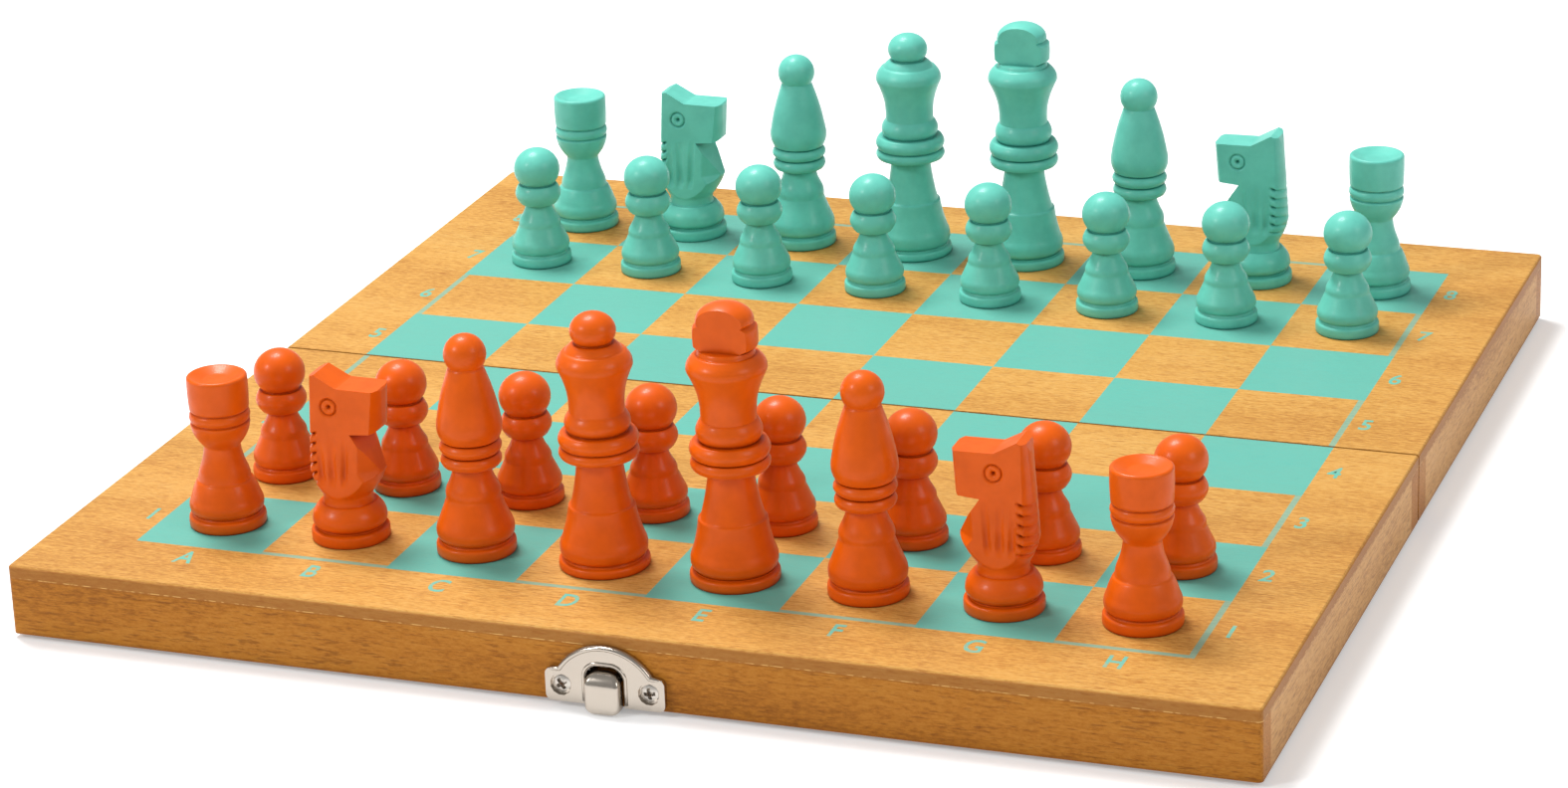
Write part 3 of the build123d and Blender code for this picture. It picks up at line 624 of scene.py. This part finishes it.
KING_STRETCHES = (
    (2.15, 10.0, 10.0, 0.1), (0.45, 10.0, 8.9, 0.15), (0.25, 8.9, 9.2, 0),
    (1.3, 8.7, 9.7, 0.2), (3.3, 9.7, 9.15, 0.3), (7.15, 9.15, 7.7, -0.2), (0.15, 7.75, 7.2, 0),
    (11.55, 7.2, 4.95, -0.25), (0.15, 4.95, 8.4, 0), (2.6, 8.4, 8.4, 0.5), (0.2, 8.4, 7.7, 0),
    (0.2, 7.7, 8.4, 0), (3.45, 8.4, 8.2, 0.7), (0.1, 8.2, 6.5, 0), (4.6, 6.7, 6.5, 0.8),
    (0.15, 6.5, 6.1, 0), (11.55, 6.2, 8.95, -0.9), (3.6, 8.95, 7.1, 0.6), (1.1, 6.4, 6.0, 0.1),
)
FINIAL_STRETCHES = (
    (0.3, 6.0, 6.1, 0), (0.5, 6.1, 7.0, 0.1), (4.4, 7.1, 7.1, 0.1), (0.6, 7.1, 6.0, 0),
    (0.3, 6.0, 6.3, 0), (0.5, 6.3, 6.45, 0.1),
)
CAP = (6.4, 3.9, 0.05)
BODY_END_R = 5.95 * MM
FINIAL_START_R = 5.6 * MM
FLAT_HALF = 3.7 * MM
UNCUT_HALF = 1.0
FLAT_POINTS = 14
ARC_POINTS = 26


def flatted_rings(radii, heights, halves, x, y, base):
    """Rings of radius r cut by a flat on each side at half the thickness h: an arc from minus asin(h / r) to
    plus asin(h / r), a straight run across the flat, and the same again on the other side."""
    corner = np.arcsin(np.minimum(1.0, halves / radii))[:, None]
    arc = corner * np.linspace(-1, 1, ARC_POINTS)
    run = np.linspace(1, -1, FLAT_POINTS + 2)[1:-1]
    side_x, side_y = radii[:, None] * np.cos(arc), radii[:, None] * np.sin(arc)
    flat_x = radii[:, None] * np.cos(corner) * run
    flat_y = np.broadcast_to((radii[:, None] * np.sin(corner)), flat_x.shape)
    across = np.concatenate([side_x, flat_x, -side_x, -flat_x], axis=1)
    along = np.concatenate([side_y, flat_y, -side_y, -flat_y], axis=1)
    level = np.broadcast_to(heights[:, None], across.shape)
    return np.stack([x + across, y + along, base + level], axis=-1)


def merged(mesh, crease=math.radians(38)):
    """Closes coincident points, drops empty faces and keeps the sharp edges crisp."""
    work = bmesh.new()
    work.from_mesh(mesh)
    bmesh.ops.remove_doubles(work, verts=work.verts, dist=0.002 * MM)
    bmesh.ops.dissolve_degenerate(work, edges=work.edges, dist=0.001 * MM)
    bmesh.ops.recalc_face_normals(work, faces=work.faces)
    work.to_mesh(mesh)
    work.free()
    mesh.shade_smooth()
    mesh.set_sharp_from_angle(angle=crease)
    return mesh


def king(name, file, rank, colour):
    """Turned body, left open where the finial starts, then the finial's rows cut by its two flats."""
    body_r, body_z = turned_profile(KING_STRETCHES)
    keep = body_r > BODY_END_R
    keep[: len(keep) // 2] = True
    body_r, body_z = body_r[keep], body_z[keep]
    top_r, top_z = turned_profile(FINIAL_STRETCHES, CAP)
    start = np.argmax(top_r > FINIAL_START_R)
    top_r, top_z = top_r[start:], top_z[start:] + body_z[-1]
    radii = np.concatenate([body_r, top_r])
    heights = np.concatenate([body_z, top_z])
    halves = np.concatenate([np.full(len(body_r), UNCUT_HALF), np.full(len(top_r), FLAT_HALF)])
    x, y = square_place(file, rank)
    mesh = merged(skin(name, flatted_rings(radii, heights, halves, x, y, FOOT_Z)))
    set_piece(f"{name}_turned", mesh, PAINTS[colour], name, [name])


for colour, home in (("orange", 0), ("teal", 7)):
    king(f"{colour}_king", 4, home, colour)


# Knights: a blank is turned with a base, a bead and a bowl, then two sloping flats are sawn, the head is cut
# out in side view, and the mane's gouges and the eye are cut with hand tools before painting.

KNIGHT_STRETCHES = (
    (2.5, 8.85, 8.85, 0.1), (0.5, 8.85, 7.6, 0.15), (0.25, 7.5, 7.8, 0),
    (1.5, 7.5, 8.5, 0.25), (4.15, 8.5, 6.5, 0.55), (2.1, 5.75, 5.75, -0.1), (6.0, 5.75, 8.7, 0.35),
    (25.0, 8.7, 8.7, 0),
)
FLAT_START_Z = 11.0
FLAT_LOW_HALF = 5.9
FLAT_TOP_HALF = 4.2
HEAD_TOP_Z = 39.9
BLANK_R = 8.7
LEAN_HEIGHTS = (0.0, 11.0, 17.0, HEAD_TOP_Z)
LEAN = (0.0, 0.0, 0.6, 2.1)
EYE_Z = 32.6
EYES = {"orange_knight_b": -1.3, "orange_knight_g": 0.6, "teal_knight_b": -1.3, "teal_knight_g": 4.0}
EYE_RING_R = 1.9
THROAT = (6.6, 22.2)
CHEST_SLOPE = 0.543
HEAD_FRONT = (
    THROAT, (3.6, 26.6), (9.0, 27.1), (9.75, 27.5), (10.0, 28.5), (10.5, 36.6), (10.2, 37.0),
    (0.7, 37.1), (0.2, 37.3), (-4.6, 39.9),
)
HEAD_BACK = (22.2, 26.0, 26.2, 26.4, 26.6, 32.8, 33.0, 36.4, 36.8, 39.3)
EAR_BACK = -6.3
HEAD_ROWS = (18, 22, 6, 8, 38, 6, 34, 4, 14)
SIDE_POINTS = 110
END_POINTS = 9
FACET_EDGE = 1.3
FACET_FRONT = 9.5
FACET_SLOPE = 0.95
FACET_END_Z = 17.5
FACET_RUN_OUT = 0.85
MUZZLE_LOW_Z = 26.7
FLUTES = ((-3.4, -0.05, 0.9), (-0.9, 0.0, 1.0), (1.7, 0.07, 0.9))
FLUTE_DEPTH = 0.75
FLUTE_FOOT_Z = 13.8
FLUTE_TOP_Z = 27.0
MANE_CUTS = (13.2, 15.5, 17.8, 20.1, 22.4, 24.7)
MANE_SLOPE = 0.45
MANE_DEPTH = 1.1
MANE_CUT_W = 0.36
MANE_FRONT = -4.4
EYE_RING_DEPTH = 0.50
EYE_DOT_DEPTH = 1.1


def chest_facet(x, z):
    """Half width left by the two knife cuts that bring the chest to a blunt edge and run out below it."""
    return FACET_EDGE + (FACET_FRONT - x) * FACET_SLOPE + np.maximum(FACET_END_Z - z, 0) * FACET_RUN_OUT


def blank_middle(z):
    """How far ahead of the base the leaning blank's middle lies at a height."""
    return np.interp(z, LEAN_HEIGHTS, LEAN)


def knight_outline():
    """Front and back ends of each slice of a knight, in the plane of its side view, from the base up: level
    slices up to the throat, then slices that swing round the chin, the muzzle, the poll and the ear."""
    radii, heights = turned_profile(KNIGHT_STRETCHES)
    level = heights < THROAT[1] * MM
    radii, heights = radii[level] / MM, heights[level] / MM
    middle = blank_middle(heights)
    chest = THROAT[0] + (THROAT[1] - heights) * CHEST_SLOPE
    front = np.stack([np.minimum(middle + radii, chest), heights], axis=-1)
    back = np.stack([middle - radii, heights], axis=-1)
    head_back = [(blank_middle(z) - BLANK_R + 0.01, z) for z in HEAD_BACK[:-1]] + [(EAR_BACK, HEAD_BACK[-1])]
    reach = radii
    for k, rows in enumerate(HEAD_ROWS):
        share = np.linspace(0, 1, rows, endpoint=k == len(HEAD_ROWS) - 1)[:, None]
        ends = [
            np.array(path[k]) * (1 - share) + np.array(path[k + 1]) * share
            for path in (HEAD_FRONT, head_back)
        ]
        front, back = np.vstack([front, ends[0]]), np.vstack([back, ends[1]])
        reach = np.append(reach, np.full(rows, BLANK_R))
    return front, back, reach


def cut_depth(x, z, eye):
    """How deep the tools cut below a knight's flat: three broad flutes that run out upward, slanting saw cuts
    in the mane behind them, the ring of the eye and its dot."""
    depth = np.zeros_like(x)
    for foot, slope, wide in FLUTES:
        middle = foot + slope * (z - 13)
        run = np.clip((z - FLUTE_FOOT_Z) / 2.2, 0, 1) * np.clip((FLUTE_TOP_Z + foot * 0.3 - z) / 9.0, 0, 1)
        depth += FLUTE_DEPTH * run * np.clip(1 - ((x - middle) / wide) ** 2, 0, 1)
    for foot in MANE_CUTS:
        line = z - foot - (x + 8.1) * MANE_SLOPE
        depth += MANE_DEPTH * np.exp(-(line / MANE_CUT_W) ** 2) * np.clip((MANE_FRONT - x) / 0.9, 0, 1)
    span = np.hypot(x - eye, z - EYE_Z)
    depth += EYE_RING_DEPTH * np.exp(-((span - EYE_RING_R) / 0.24) ** 2)
    return depth + EYE_DOT_DEPTH * np.exp(-(span / 0.50) ** 2)


def knight_rings(eye):
    """Each slice is a loop in the plane of its two ends: along one side, where the half width is the least of
    the flat and the turned blank less what the tools cut, across an end, back along the other side and across
    the other end."""
    front, back, reach = knight_outline()
    share = (1 - np.cos(np.pi * np.linspace(0, 1, SIDE_POINTS))) / 2
    x = back[:, :1] + (front - back)[:, :1] * share
    z = back[:, 1:] + (front - back)[:, 1:] * share
    slope = np.clip((z - FLAT_START_Z) / (HEAD_TOP_Z - FLAT_START_Z), 0, 1)
    flat = FLAT_LOW_HALF + (FLAT_TOP_HALF - FLAT_LOW_HALF) * slope
    flat = np.where(z < FLAT_START_Z, BLANK_R * 2, flat)
    blank = np.sqrt(np.maximum(reach[:, None] ** 2 - (x - blank_middle(z)) ** 2, 0))
    half = np.minimum(flat, blank)
    half = np.where((z < MUZZLE_LOW_Z) & (z > FLAT_START_Z), np.minimum(half, chest_facet(x, z)), half)
    half = np.where(z > FLAT_START_Z, np.maximum(half - cut_depth(x, z, eye), 0.05), half)
    end = np.linspace(1, -1, END_POINTS + 2)[1:-1]
    front_x = np.broadcast_to(front[:, :1], (len(front), END_POINTS))
    front_z = np.broadcast_to(front[:, 1:], (len(front), END_POINTS))
    back_x = np.broadcast_to(back[:, :1], (len(front), END_POINTS))
    back_z = np.broadcast_to(back[:, 1:], (len(front), END_POINTS))
    ahead = np.concatenate([x[:, ::-1], back_x, x, front_x], axis=1)
    level = np.concatenate([z[:, ::-1], back_z, z, front_z], axis=1)
    wide = np.concatenate([half[:, ::-1], half[:, :1] * end, -half, -half[:, -1:] * end], axis=1)
    return np.stack([ahead, wide, level], axis=-1) * MM


def knight(name, file, rank, colour, facing):
    """A knight on its square that looks to the right for 1 and to the left for -1."""
    rings = knight_rings(EYES[name]) * np.array([facing, facing, 1])
    x, y = square_place(file, rank)
    mesh = merged(skin(name, rings + np.array([x, y, FOOT_Z])), math.radians(30))
    set_piece(f"{name}_carved", mesh, PAINTS[colour], name, [name])


for colour, home in (("orange", 0), ("teal", 7)):
    knight(f"{colour}_knight_b", 1, home, colour, 1)
    knight(f"{colour}_knight_g", 6, home, colour, -1)


# Draughtsmen: turned discs of the same wood and paint with a sunk middle, stacked in pairs in the hollow of
# the front half.

DRAUGHT_STRETCHES = (
    (4.6, 12.0, 12.0, 0.1), (0.4, 12.0, 11.4, 0.1), (0.0, 11.4, 9.3, 0), (-0.5, 9.3, 8.9, 0),
    (0.0, 8.9, 5.4, 0), (0.3, 5.4, 4.8, 0), (0.0, 4.8, 0.1, 0),
)
DRAUGHT_R = 12 * MM
DRAUGHT_H = 5 * MM
DRAUGHT_SIDES = 56
DRAUGHT_COLUMNS = 3
DRAUGHT_ROWS = 2


def draught_set(colour):
    """Twelve draughtsmen in stacks of two, placed from the corner of their solids' box."""
    radii, heights = turned_profile(DRAUGHT_STRETCHES)
    low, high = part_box(f"{colour}_draughts")
    columns = np.linspace(low.x + DRAUGHT_R, high.x - DRAUGHT_R, DRAUGHT_COLUMNS)
    rows = np.linspace(low.y + DRAUGHT_R, high.y - DRAUGHT_R, DRAUGHT_ROWS)
    work = bmesh.new()
    for x in columns:
        for y in rows:
            for base in (0.0, DRAUGHT_H):
                work.from_mesh(skin("draught", round_rings(radii, heights, x, y, base, DRAUGHT_SIDES)))
    mesh = bpy.data.meshes.new(f"{colour}_draughts_turned")
    work.to_mesh(mesh)
    mesh.shade_smooth()
    name = f"{colour}_draughts"
    set_piece(f"{name}_turned", mesh, PAINTS[colour], name, [name])


draught_set("orange")
draught_set("teal")


# Clasp plate: a half moon pressed from thin steel and nickel plated, with a rounded edge, a window for the
# tongue and two sunk seats for its screws.

NICKEL = plated_steel("satin nickel", linear(188, 178, 166), 0.18, 0.10)
dress("clasp_plate", NICKEL)

PLATE_FACE_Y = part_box("clasp_plate")[0].y
ARCH_CENTRE_Z = RIM_Z + 1.2 * MM
BEAD_R = 0.55 * MM
BEAD_SUNK = 0.25 * MM
BEAD_ARCH_R = 12.4 * MM
BEAD_TAIL_X = 13.3 * MM
BEAD_TAIL_DROP = 0.35 * MM
TAB_TOP_Z = RIM_Z + 7.9 * MM
WINDOW_X = 4.85 * MM
WINDOW_R = 3.4 * MM
WINDOW_TOP = 10.1 * MM
WINDOW_LOW = 1.0 * MM
WINDOW_RIM_R = 0.45 * MM
WINDOW_RIM_SUNK = 0.1 * MM


def tube(name, path, radius, sides=14):
    """Round bar along a path in the clasp's face: each ring is a circle square to the path's direction."""
    ahead = np.gradient(path, axis=0)
    ahead /= np.linalg.norm(ahead, axis=1, keepdims=True)
    out = np.array([0.0, -1.0, 0.0])
    side = np.cross(ahead, out)
    turn = np.linspace(0, 2 * np.pi, sides, endpoint=False)[None, :, None]
    ring = np.cos(turn) * side[:, None] + np.sin(turn) * out
    return skin(name, path[:, None] + radius[:, None, None] * ring)


def plate_bead():
    """The rolled edge of the half moon: a circle's arc along the arch and a straight, thinning end over each
    tab."""
    foot = math.asin((TAB_TOP_Z - ARCH_CENTRE_Z) / BEAD_ARCH_R)
    turn = np.linspace(foot, np.pi - foot, 90)
    arch = np.stack([BEAD_ARCH_R * np.cos(turn), BEAD_ARCH_R * np.sin(turn)], axis=-1)
    run = np.linspace(1, 0, 8, endpoint=False)[:, None]
    tail = np.array([BEAD_TAIL_X, TAB_TOP_Z - ARCH_CENTRE_Z - BEAD_TAIL_DROP])
    right = arch[0] + (tail - arch[0]) * run
    left = (arch[-1] + (tail * (-1, 1) - arch[-1]) * run)[::-1]
    flat = np.vstack([right, arch, left])
    depth = np.full(len(flat), PLATE_FACE_Y + BEAD_SUNK)
    path = np.stack([flat[:, 0], depth, ARCH_CENTRE_Z + flat[:, 1]], axis=-1)
    count = np.arange(len(path))
    from_end = np.minimum(count, count[::-1])
    thick = BEAD_R * np.minimum(1, 0.35 + 0.65 * from_end / 6)
    return tube("plate_bead", path, thick)


def window_rim():
    """The pressed rim that stands up round the tongue's window: two uprights joined by rounded shoulders."""
    turn = np.linspace(0, np.pi / 2, 16)
    shoulder = np.stack([
        WINDOW_X - WINDOW_R + WINDOW_R * np.cos(turn), WINDOW_TOP - WINDOW_R + WINDOW_R * np.sin(turn),
    ], axis=-1)
    halfway = (WINDOW_LOW + WINDOW_TOP - WINDOW_R) / 2
    half = np.vstack([[(WINDOW_X, WINDOW_LOW)], [(WINDOW_X, halfway)], shoulder])
    flat = np.vstack([half, (half * (-1, 1))[::-1]])
    depth = np.full(len(flat), PLATE_FACE_Y + WINDOW_RIM_SUNK)
    path = np.stack([flat[:, 0], depth, RIM_Z + flat[:, 1]], axis=-1)
    return tube("window_rim", path, np.full(len(path), WINDOW_RIM_R))


set_piece("plate_bead", plate_bead(), NICKEL, "front_half", [])
set_piece("window_rim", window_rim(), NICKEL, "front_half", [])


# Clasp tongue: one strip of the same steel drawn into a hollow thumb piece with soft edges, a domed top and a
# tooth inside its tip. Its cheeks reach back through the window to the pin.

PLATE_T = 1.4
TONGUE_HALF_W = 4.1
SHOULDER_R = 3.2
DOME_R = 3.6
DOME_OUT = 0.4
DOME_UP = 5.1
TIP_UP = -0.6
TIP_CORNER = 1.4
SHEET_T = 0.7
EDGE_R = 1.0
CHEEK_UP = 6.5
CHEEK_OUT = 1.42
CHEEK_LEVELS = [1.2, 2.5, 3.8]
BACK_OUT = -1.0
TOOTH_UP = 0.3
TOOTH_T = 0.6
PIN_OUT = -1.0
PIN_UP = 7.6
EYE_BAR_R = 1.05


def tongue_levels():
    """Heights of the outer and inner skin, half widths, front faces and back edges of each level."""
    tip_turn = np.linspace(0, np.pi / 2, 9)
    low = np.concatenate([TIP_UP + TIP_CORNER * (1 - np.cos(tip_turn)), CHEEK_LEVELS])
    turn = np.linspace(0, np.pi / 2, 28)
    skins = []
    for inset in (0.0, SHEET_T):
        dome = DOME_R - inset
        up = np.concatenate([low, DOME_UP + dome * np.sin(turn)])
        front = np.concatenate([np.full(len(low), DOME_OUT + dome), DOME_OUT + dome * np.cos(turn)])
        rise = np.maximum(up - (DOME_UP + DOME_R - SHOULDER_R), 0)
        shoulder = SHOULDER_R - inset
        wide = TONGUE_HALF_W - SHOULDER_R + np.sqrt(np.maximum(shoulder ** 2 - rise ** 2, 0))
        tip = np.maximum(TIP_UP + TIP_CORNER - up, 0)
        wide -= TIP_CORNER - np.sqrt(TIP_CORNER ** 2 - tip ** 2)
        if inset:
            front = front - np.where(up < TOOTH_UP, TOOTH_T, 0)
        skins.append((up, wide, front, np.where(up < CHEEK_UP, CHEEK_OUT, BACK_OUT)))
    return skins


def u_section(up, wide, front, back, edge):
    """Points of a level from its left back edge round the front to its right back edge: straight cheeks, then
    quarter circles of the edge's radius, then the straight front."""
    round_r = np.minimum(np.minimum(edge, wide), front - back)[:, None]
    turn = np.linspace(0, np.pi / 2, 9)
    side = np.linspace(0, 1, 4, endpoint=False)
    across = np.concatenate([
        np.repeat(wide[:, None], 4, axis=1), wide[:, None] - round_r * (1 - np.cos(turn)),
    ], axis=1)
    cheek = back[:, None] + (front[:, None] - round_r - back[:, None]) * side
    out = np.concatenate([cheek, front[:, None] - round_r * (1 - np.sin(turn))], axis=1)
    across = np.concatenate([-across, across[:, ::-1]], axis=1)
    out = np.concatenate([out, out[:, ::-1]], axis=1)
    return np.stack([across, out, np.broadcast_to(up[:, None], across.shape)], axis=-1)


def quad_strip(first, second):
    """Quads between two runs of points."""
    return np.stack([first[:-1], first[1:], second[1:], second[:-1]], axis=-1).reshape(-1, 4)


def tongue_mesh():
    """Outer and inner skin joined along the tip, up the back edges and over the roof."""
    outer, inner = tongue_levels()
    sections = [u_section(*outer, EDGE_R), u_section(*inner, EDGE_R - SHEET_T + 0.05)]
    rows, columns, _ = sections[0].shape
    flat = np.concatenate([section.reshape(-1, 3) for section in sections])
    points = np.stack([flat[:, 0], -flat[:, 1], flat[:, 2]], axis=-1) * MM
    points += np.array([0, PLATE_FACE_Y + PLATE_T * MM, RIM_Z])
    out = np.arange(rows * columns).reshape(rows, columns)
    inn = out + rows * columns
    faces = [quad_strip(grid[:-1].T, grid[1:].T) for grid in (out, inn)]
    faces += [quad_strip(out[0], inn[0]), quad_strip(out[:, 0], inn[:, 0]), quad_strip(out[:, -1], inn[:, -1])]
    half = columns // 2
    for grid in (out, inn):
        faces.append(quad_strip(grid[-1, :half], grid[-1, ::-1][:half]))
    faces.append(np.array([[out[-1, 0], out[-1, -1], inn[-1, -1], inn[-1, 0]]]))
    mesh = bpy.data.meshes.new("tongue_drawn")
    mesh.from_pydata(points.tolist(), [], np.concatenate(faces).tolist())
    return merged(mesh, math.radians(50))


def tongue_barrel():
    """The eye round the pin, seen from below: a thick round bar along X."""
    ends = np.linspace(-TONGUE_HALF_W + SHEET_T / 2, TONGUE_HALF_W - SHEET_T / 2, 4) * MM
    y, z = PLATE_FACE_Y + (PLATE_T - PIN_OUT) * MM, RIM_Z + PIN_UP * MM
    path = np.stack([ends, np.full(4, y), np.full(4, z)], axis=-1)
    return tube("tongue_barrel", path, np.full(4, EYE_BAR_R * MM), 24)


set_piece("tongue_drawn", tongue_mesh(), NICKEL, "clasp_tongue", ["clasp_tongue"])
set_piece("tongue_barrel", tongue_barrel(), NICKEL, "clasp_tongue", [])


# Clasp screws: two small countersunk steel screws with a pressed cross in a slightly domed head, each a
# little below the plate's face.

SCREW_X = 10.2 * MM
SCREW_UP = 4.2 * MM
SCREW_TURNS = {-1: 0.6, 1: 0.15}
SCREW_ROWS = 44
SCREW_COLUMNS = 120
HEAD_R = 2.0 * MM
HEAD_FLOOR_Y = PLATE_FACE_Y + 0.62 * MM
HEAD_RISE = 0.42 * MM
CROSS_HALF_W = 0.36 * MM
CROSS_HALF_L = 1.35 * MM
CROSS_DEPTH = 1.5 * MM
CROSS_SOFT = 0.13 * MM
SHANK = ((2.0, 0.1), (1.9, 0.3), (1.5, 1.3), (0.9, 2.0), (0.9, 4.6), (0.1, 5.2))


def recess(across, along):
    """0 to 1 inside one arm of the cross: a soft edged bar, long one way and narrow the other."""
    narrow = np.clip((CROSS_HALF_W - np.abs(across)) / CROSS_SOFT + 0.5, 0, 1)
    return narrow * np.clip((CROSS_HALF_L - np.abs(along)) / (3 * CROSS_SOFT), 0, 1)


def clasp_screw(x, up, turned):
    """Rings about an axis along Y: the dome, a parabola of the radius less the cross, then the cone and the
    shank."""
    turn = np.linspace(0, 2 * np.pi, SCREW_COLUMNS, endpoint=False)
    radii = np.linspace(0.02 * MM, HEAD_R, SCREW_ROWS)[:, None]
    across, along = radii * np.cos(turn), radii * np.sin(turn)
    dome = HEAD_RISE * (1 - (radii / HEAD_R) ** 2)
    cross = CROSS_DEPTH * np.maximum(recess(across, along), recess(along, across))
    rows = [np.stack([across, HEAD_FLOOR_Y - dome + cross, along], axis=-1)]
    for radius, depth in SHANK:
        level = np.full(SCREW_COLUMNS, HEAD_FLOOR_Y + depth * MM)
        row = np.stack([radius * MM * np.cos(turn), level, radius * MM * np.sin(turn)])
        rows.append(row.T[None])
    rings = np.concatenate(rows)
    cos, sin = math.cos(turned), math.sin(turned)
    spun = np.stack([rings[..., 0] * cos - rings[..., 2] * sin, rings[..., 1],
                     rings[..., 0] * sin + rings[..., 2] * cos], axis=-1)
    return skin("clasp screw", spun[::-1] + np.array([x, 0, RIM_Z + up]))


def clasp_screw_pair():
    """Both screws as one mesh, driven home at different angles."""
    work = bmesh.new()
    for side, turned in SCREW_TURNS.items():
        work.from_mesh(clasp_screw(side * SCREW_X, SCREW_UP, turned))
    bmesh.ops.recalc_face_normals(work, faces=work.faces)
    mesh = bpy.data.meshes.new("clasp_screws_driven")
    work.to_mesh(mesh)
    mesh.shade_smooth()
    mesh.set_sharp_from_angle(angle=math.radians(40))
    return mesh


SCREW_STEEL = plated_steel("screw steel", linear(206, 199, 190), 0.3, 0.08)
set_piece(
    "clasp_screws_driven", clasp_screw_pair(), SCREW_STEEL, "front_half", ["clasp_screws"],
)


# Studio: a wide white floor under an even white world, lit by soft square lamps from above, from the front
# left and, much weaker, from the right.

FLOOR_REACH = 6.0
FLOOR_GLOW = 0.30
WORLD_LIGHT = 0.40


def white_stage():
    """White floor that keeps the object's shadow, with a little more light where the camera, or a shiny or
    clear surface, sees it."""
    material, tree, shader = finish("white sweep")
    shader.inputs["Base Color"].default_value = (0.8, 0.8, 0.8, 1)
    shader.inputs["Roughness"].default_value = 0.9
    shader.inputs["Specular IOR Level"].default_value = 0.0
    rays = tree.nodes.new("ShaderNodeLightPath")
    seen = sum_of(tree, "MAXIMUM", rays.outputs["Is Camera Ray"], rays.outputs["Is Glossy Ray"])
    seen = sum_of(tree, "MAXIMUM", seen, rays.outputs["Is Transmission Ray"])
    tint = blend_of(tree, seen, (0, 0, 0, 1), (1, 1, 1, 1))
    plug(tree, tint, shader.inputs["Emission Color"])
    shader.inputs["Emission Strength"].default_value = FLOOR_GLOW
    return material


floor_mesh = bpy.data.meshes.new("floor")
corners = [(sx * FLOOR_REACH, sy * FLOOR_REACH, 0) for sx, sy in ((-1, -1), (1, -1), (1, 1), (-1, 1))]
floor_mesh.from_pydata(corners, [], [(0, 1, 2, 3)])
floor_mesh.materials.append(white_stage())
floor = bpy.data.objects.new("floor", floor_mesh)
bpy.context.scene.collection.objects.link(floor)

world = bpy.data.worlds.new("studio")
bpy.context.scene.world = world
world.use_nodes = True
world.node_tree.nodes["Background"].inputs["Color"].default_value = (1, 1, 1, 1)
world.node_tree.nodes["Background"].inputs["Strength"].default_value = WORLD_LIGHT


def lamp(name, place, target, size, power):
    """Square area lamp that points at a target."""
    data = bpy.data.lights.new(name, "AREA")
    data.size = size
    data.energy = power
    holder = bpy.data.objects.new(name, data)
    holder.location = place
    holder.rotation_euler = (Vector(target) - Vector(place)).to_track_quat("-Z", "Y").to_euler()
    bpy.context.scene.collection.objects.link(holder)


lamp("top lamp", (-0.55, 0.35, 1.5), (0, 0, 0), 0.55, 28)
lamp("front lamp", (-1.15, -1.15, 1.1), (0, 0, 0.02), 0.4, 11.5)
lamp("right lamp", (1.4, -0.45, 0.9), (0, 0, 0.02), 0.6, 5)


# Camera: where the photograph was taken from, fitted to the board's corners and squares and to the men's
# feet and tops.

CAMERA_PLACE = (0.360, -0.983, 0.420)
CAMERA_TURN = math.radians(-20.7)
CAMERA_DROP = math.radians(20.94)
CAMERA_ROLL = math.radians(-2.24)
FOCAL_PIXELS = 4658
PICTURE_PIXELS = 1575
FOCAL_SHARE = FOCAL_PIXELS / PICTURE_PIXELS
SENSOR_W = 36.0

ahead = Vector((
    math.cos(CAMERA_DROP) * math.sin(CAMERA_TURN),
    math.cos(CAMERA_DROP) * math.cos(CAMERA_TURN),
    -math.sin(CAMERA_DROP),
))
level_right = ahead.cross(Vector((0, 0, 1))).normalized()
level_up = level_right.cross(ahead)
right = math.cos(CAMERA_ROLL) * level_right + math.sin(CAMERA_ROLL) * level_up
up = math.cos(CAMERA_ROLL) * level_up - math.sin(CAMERA_ROLL) * level_right
camera_data = bpy.data.cameras.new("camera")
camera_data.sensor_width = SENSOR_W
camera_data.lens = SENSOR_W * FOCAL_SHARE
camera = bpy.data.objects.new("camera", camera_data)
camera.rotation_euler = Matrix((right, up, -ahead)).transposed().to_euler()
camera.location = CAMERA_PLACE
bpy.context.scene.collection.objects.link(camera)
bpy.context.scene.camera = camera
bpy.context.scene.view_settings.view_transform = "Standard"
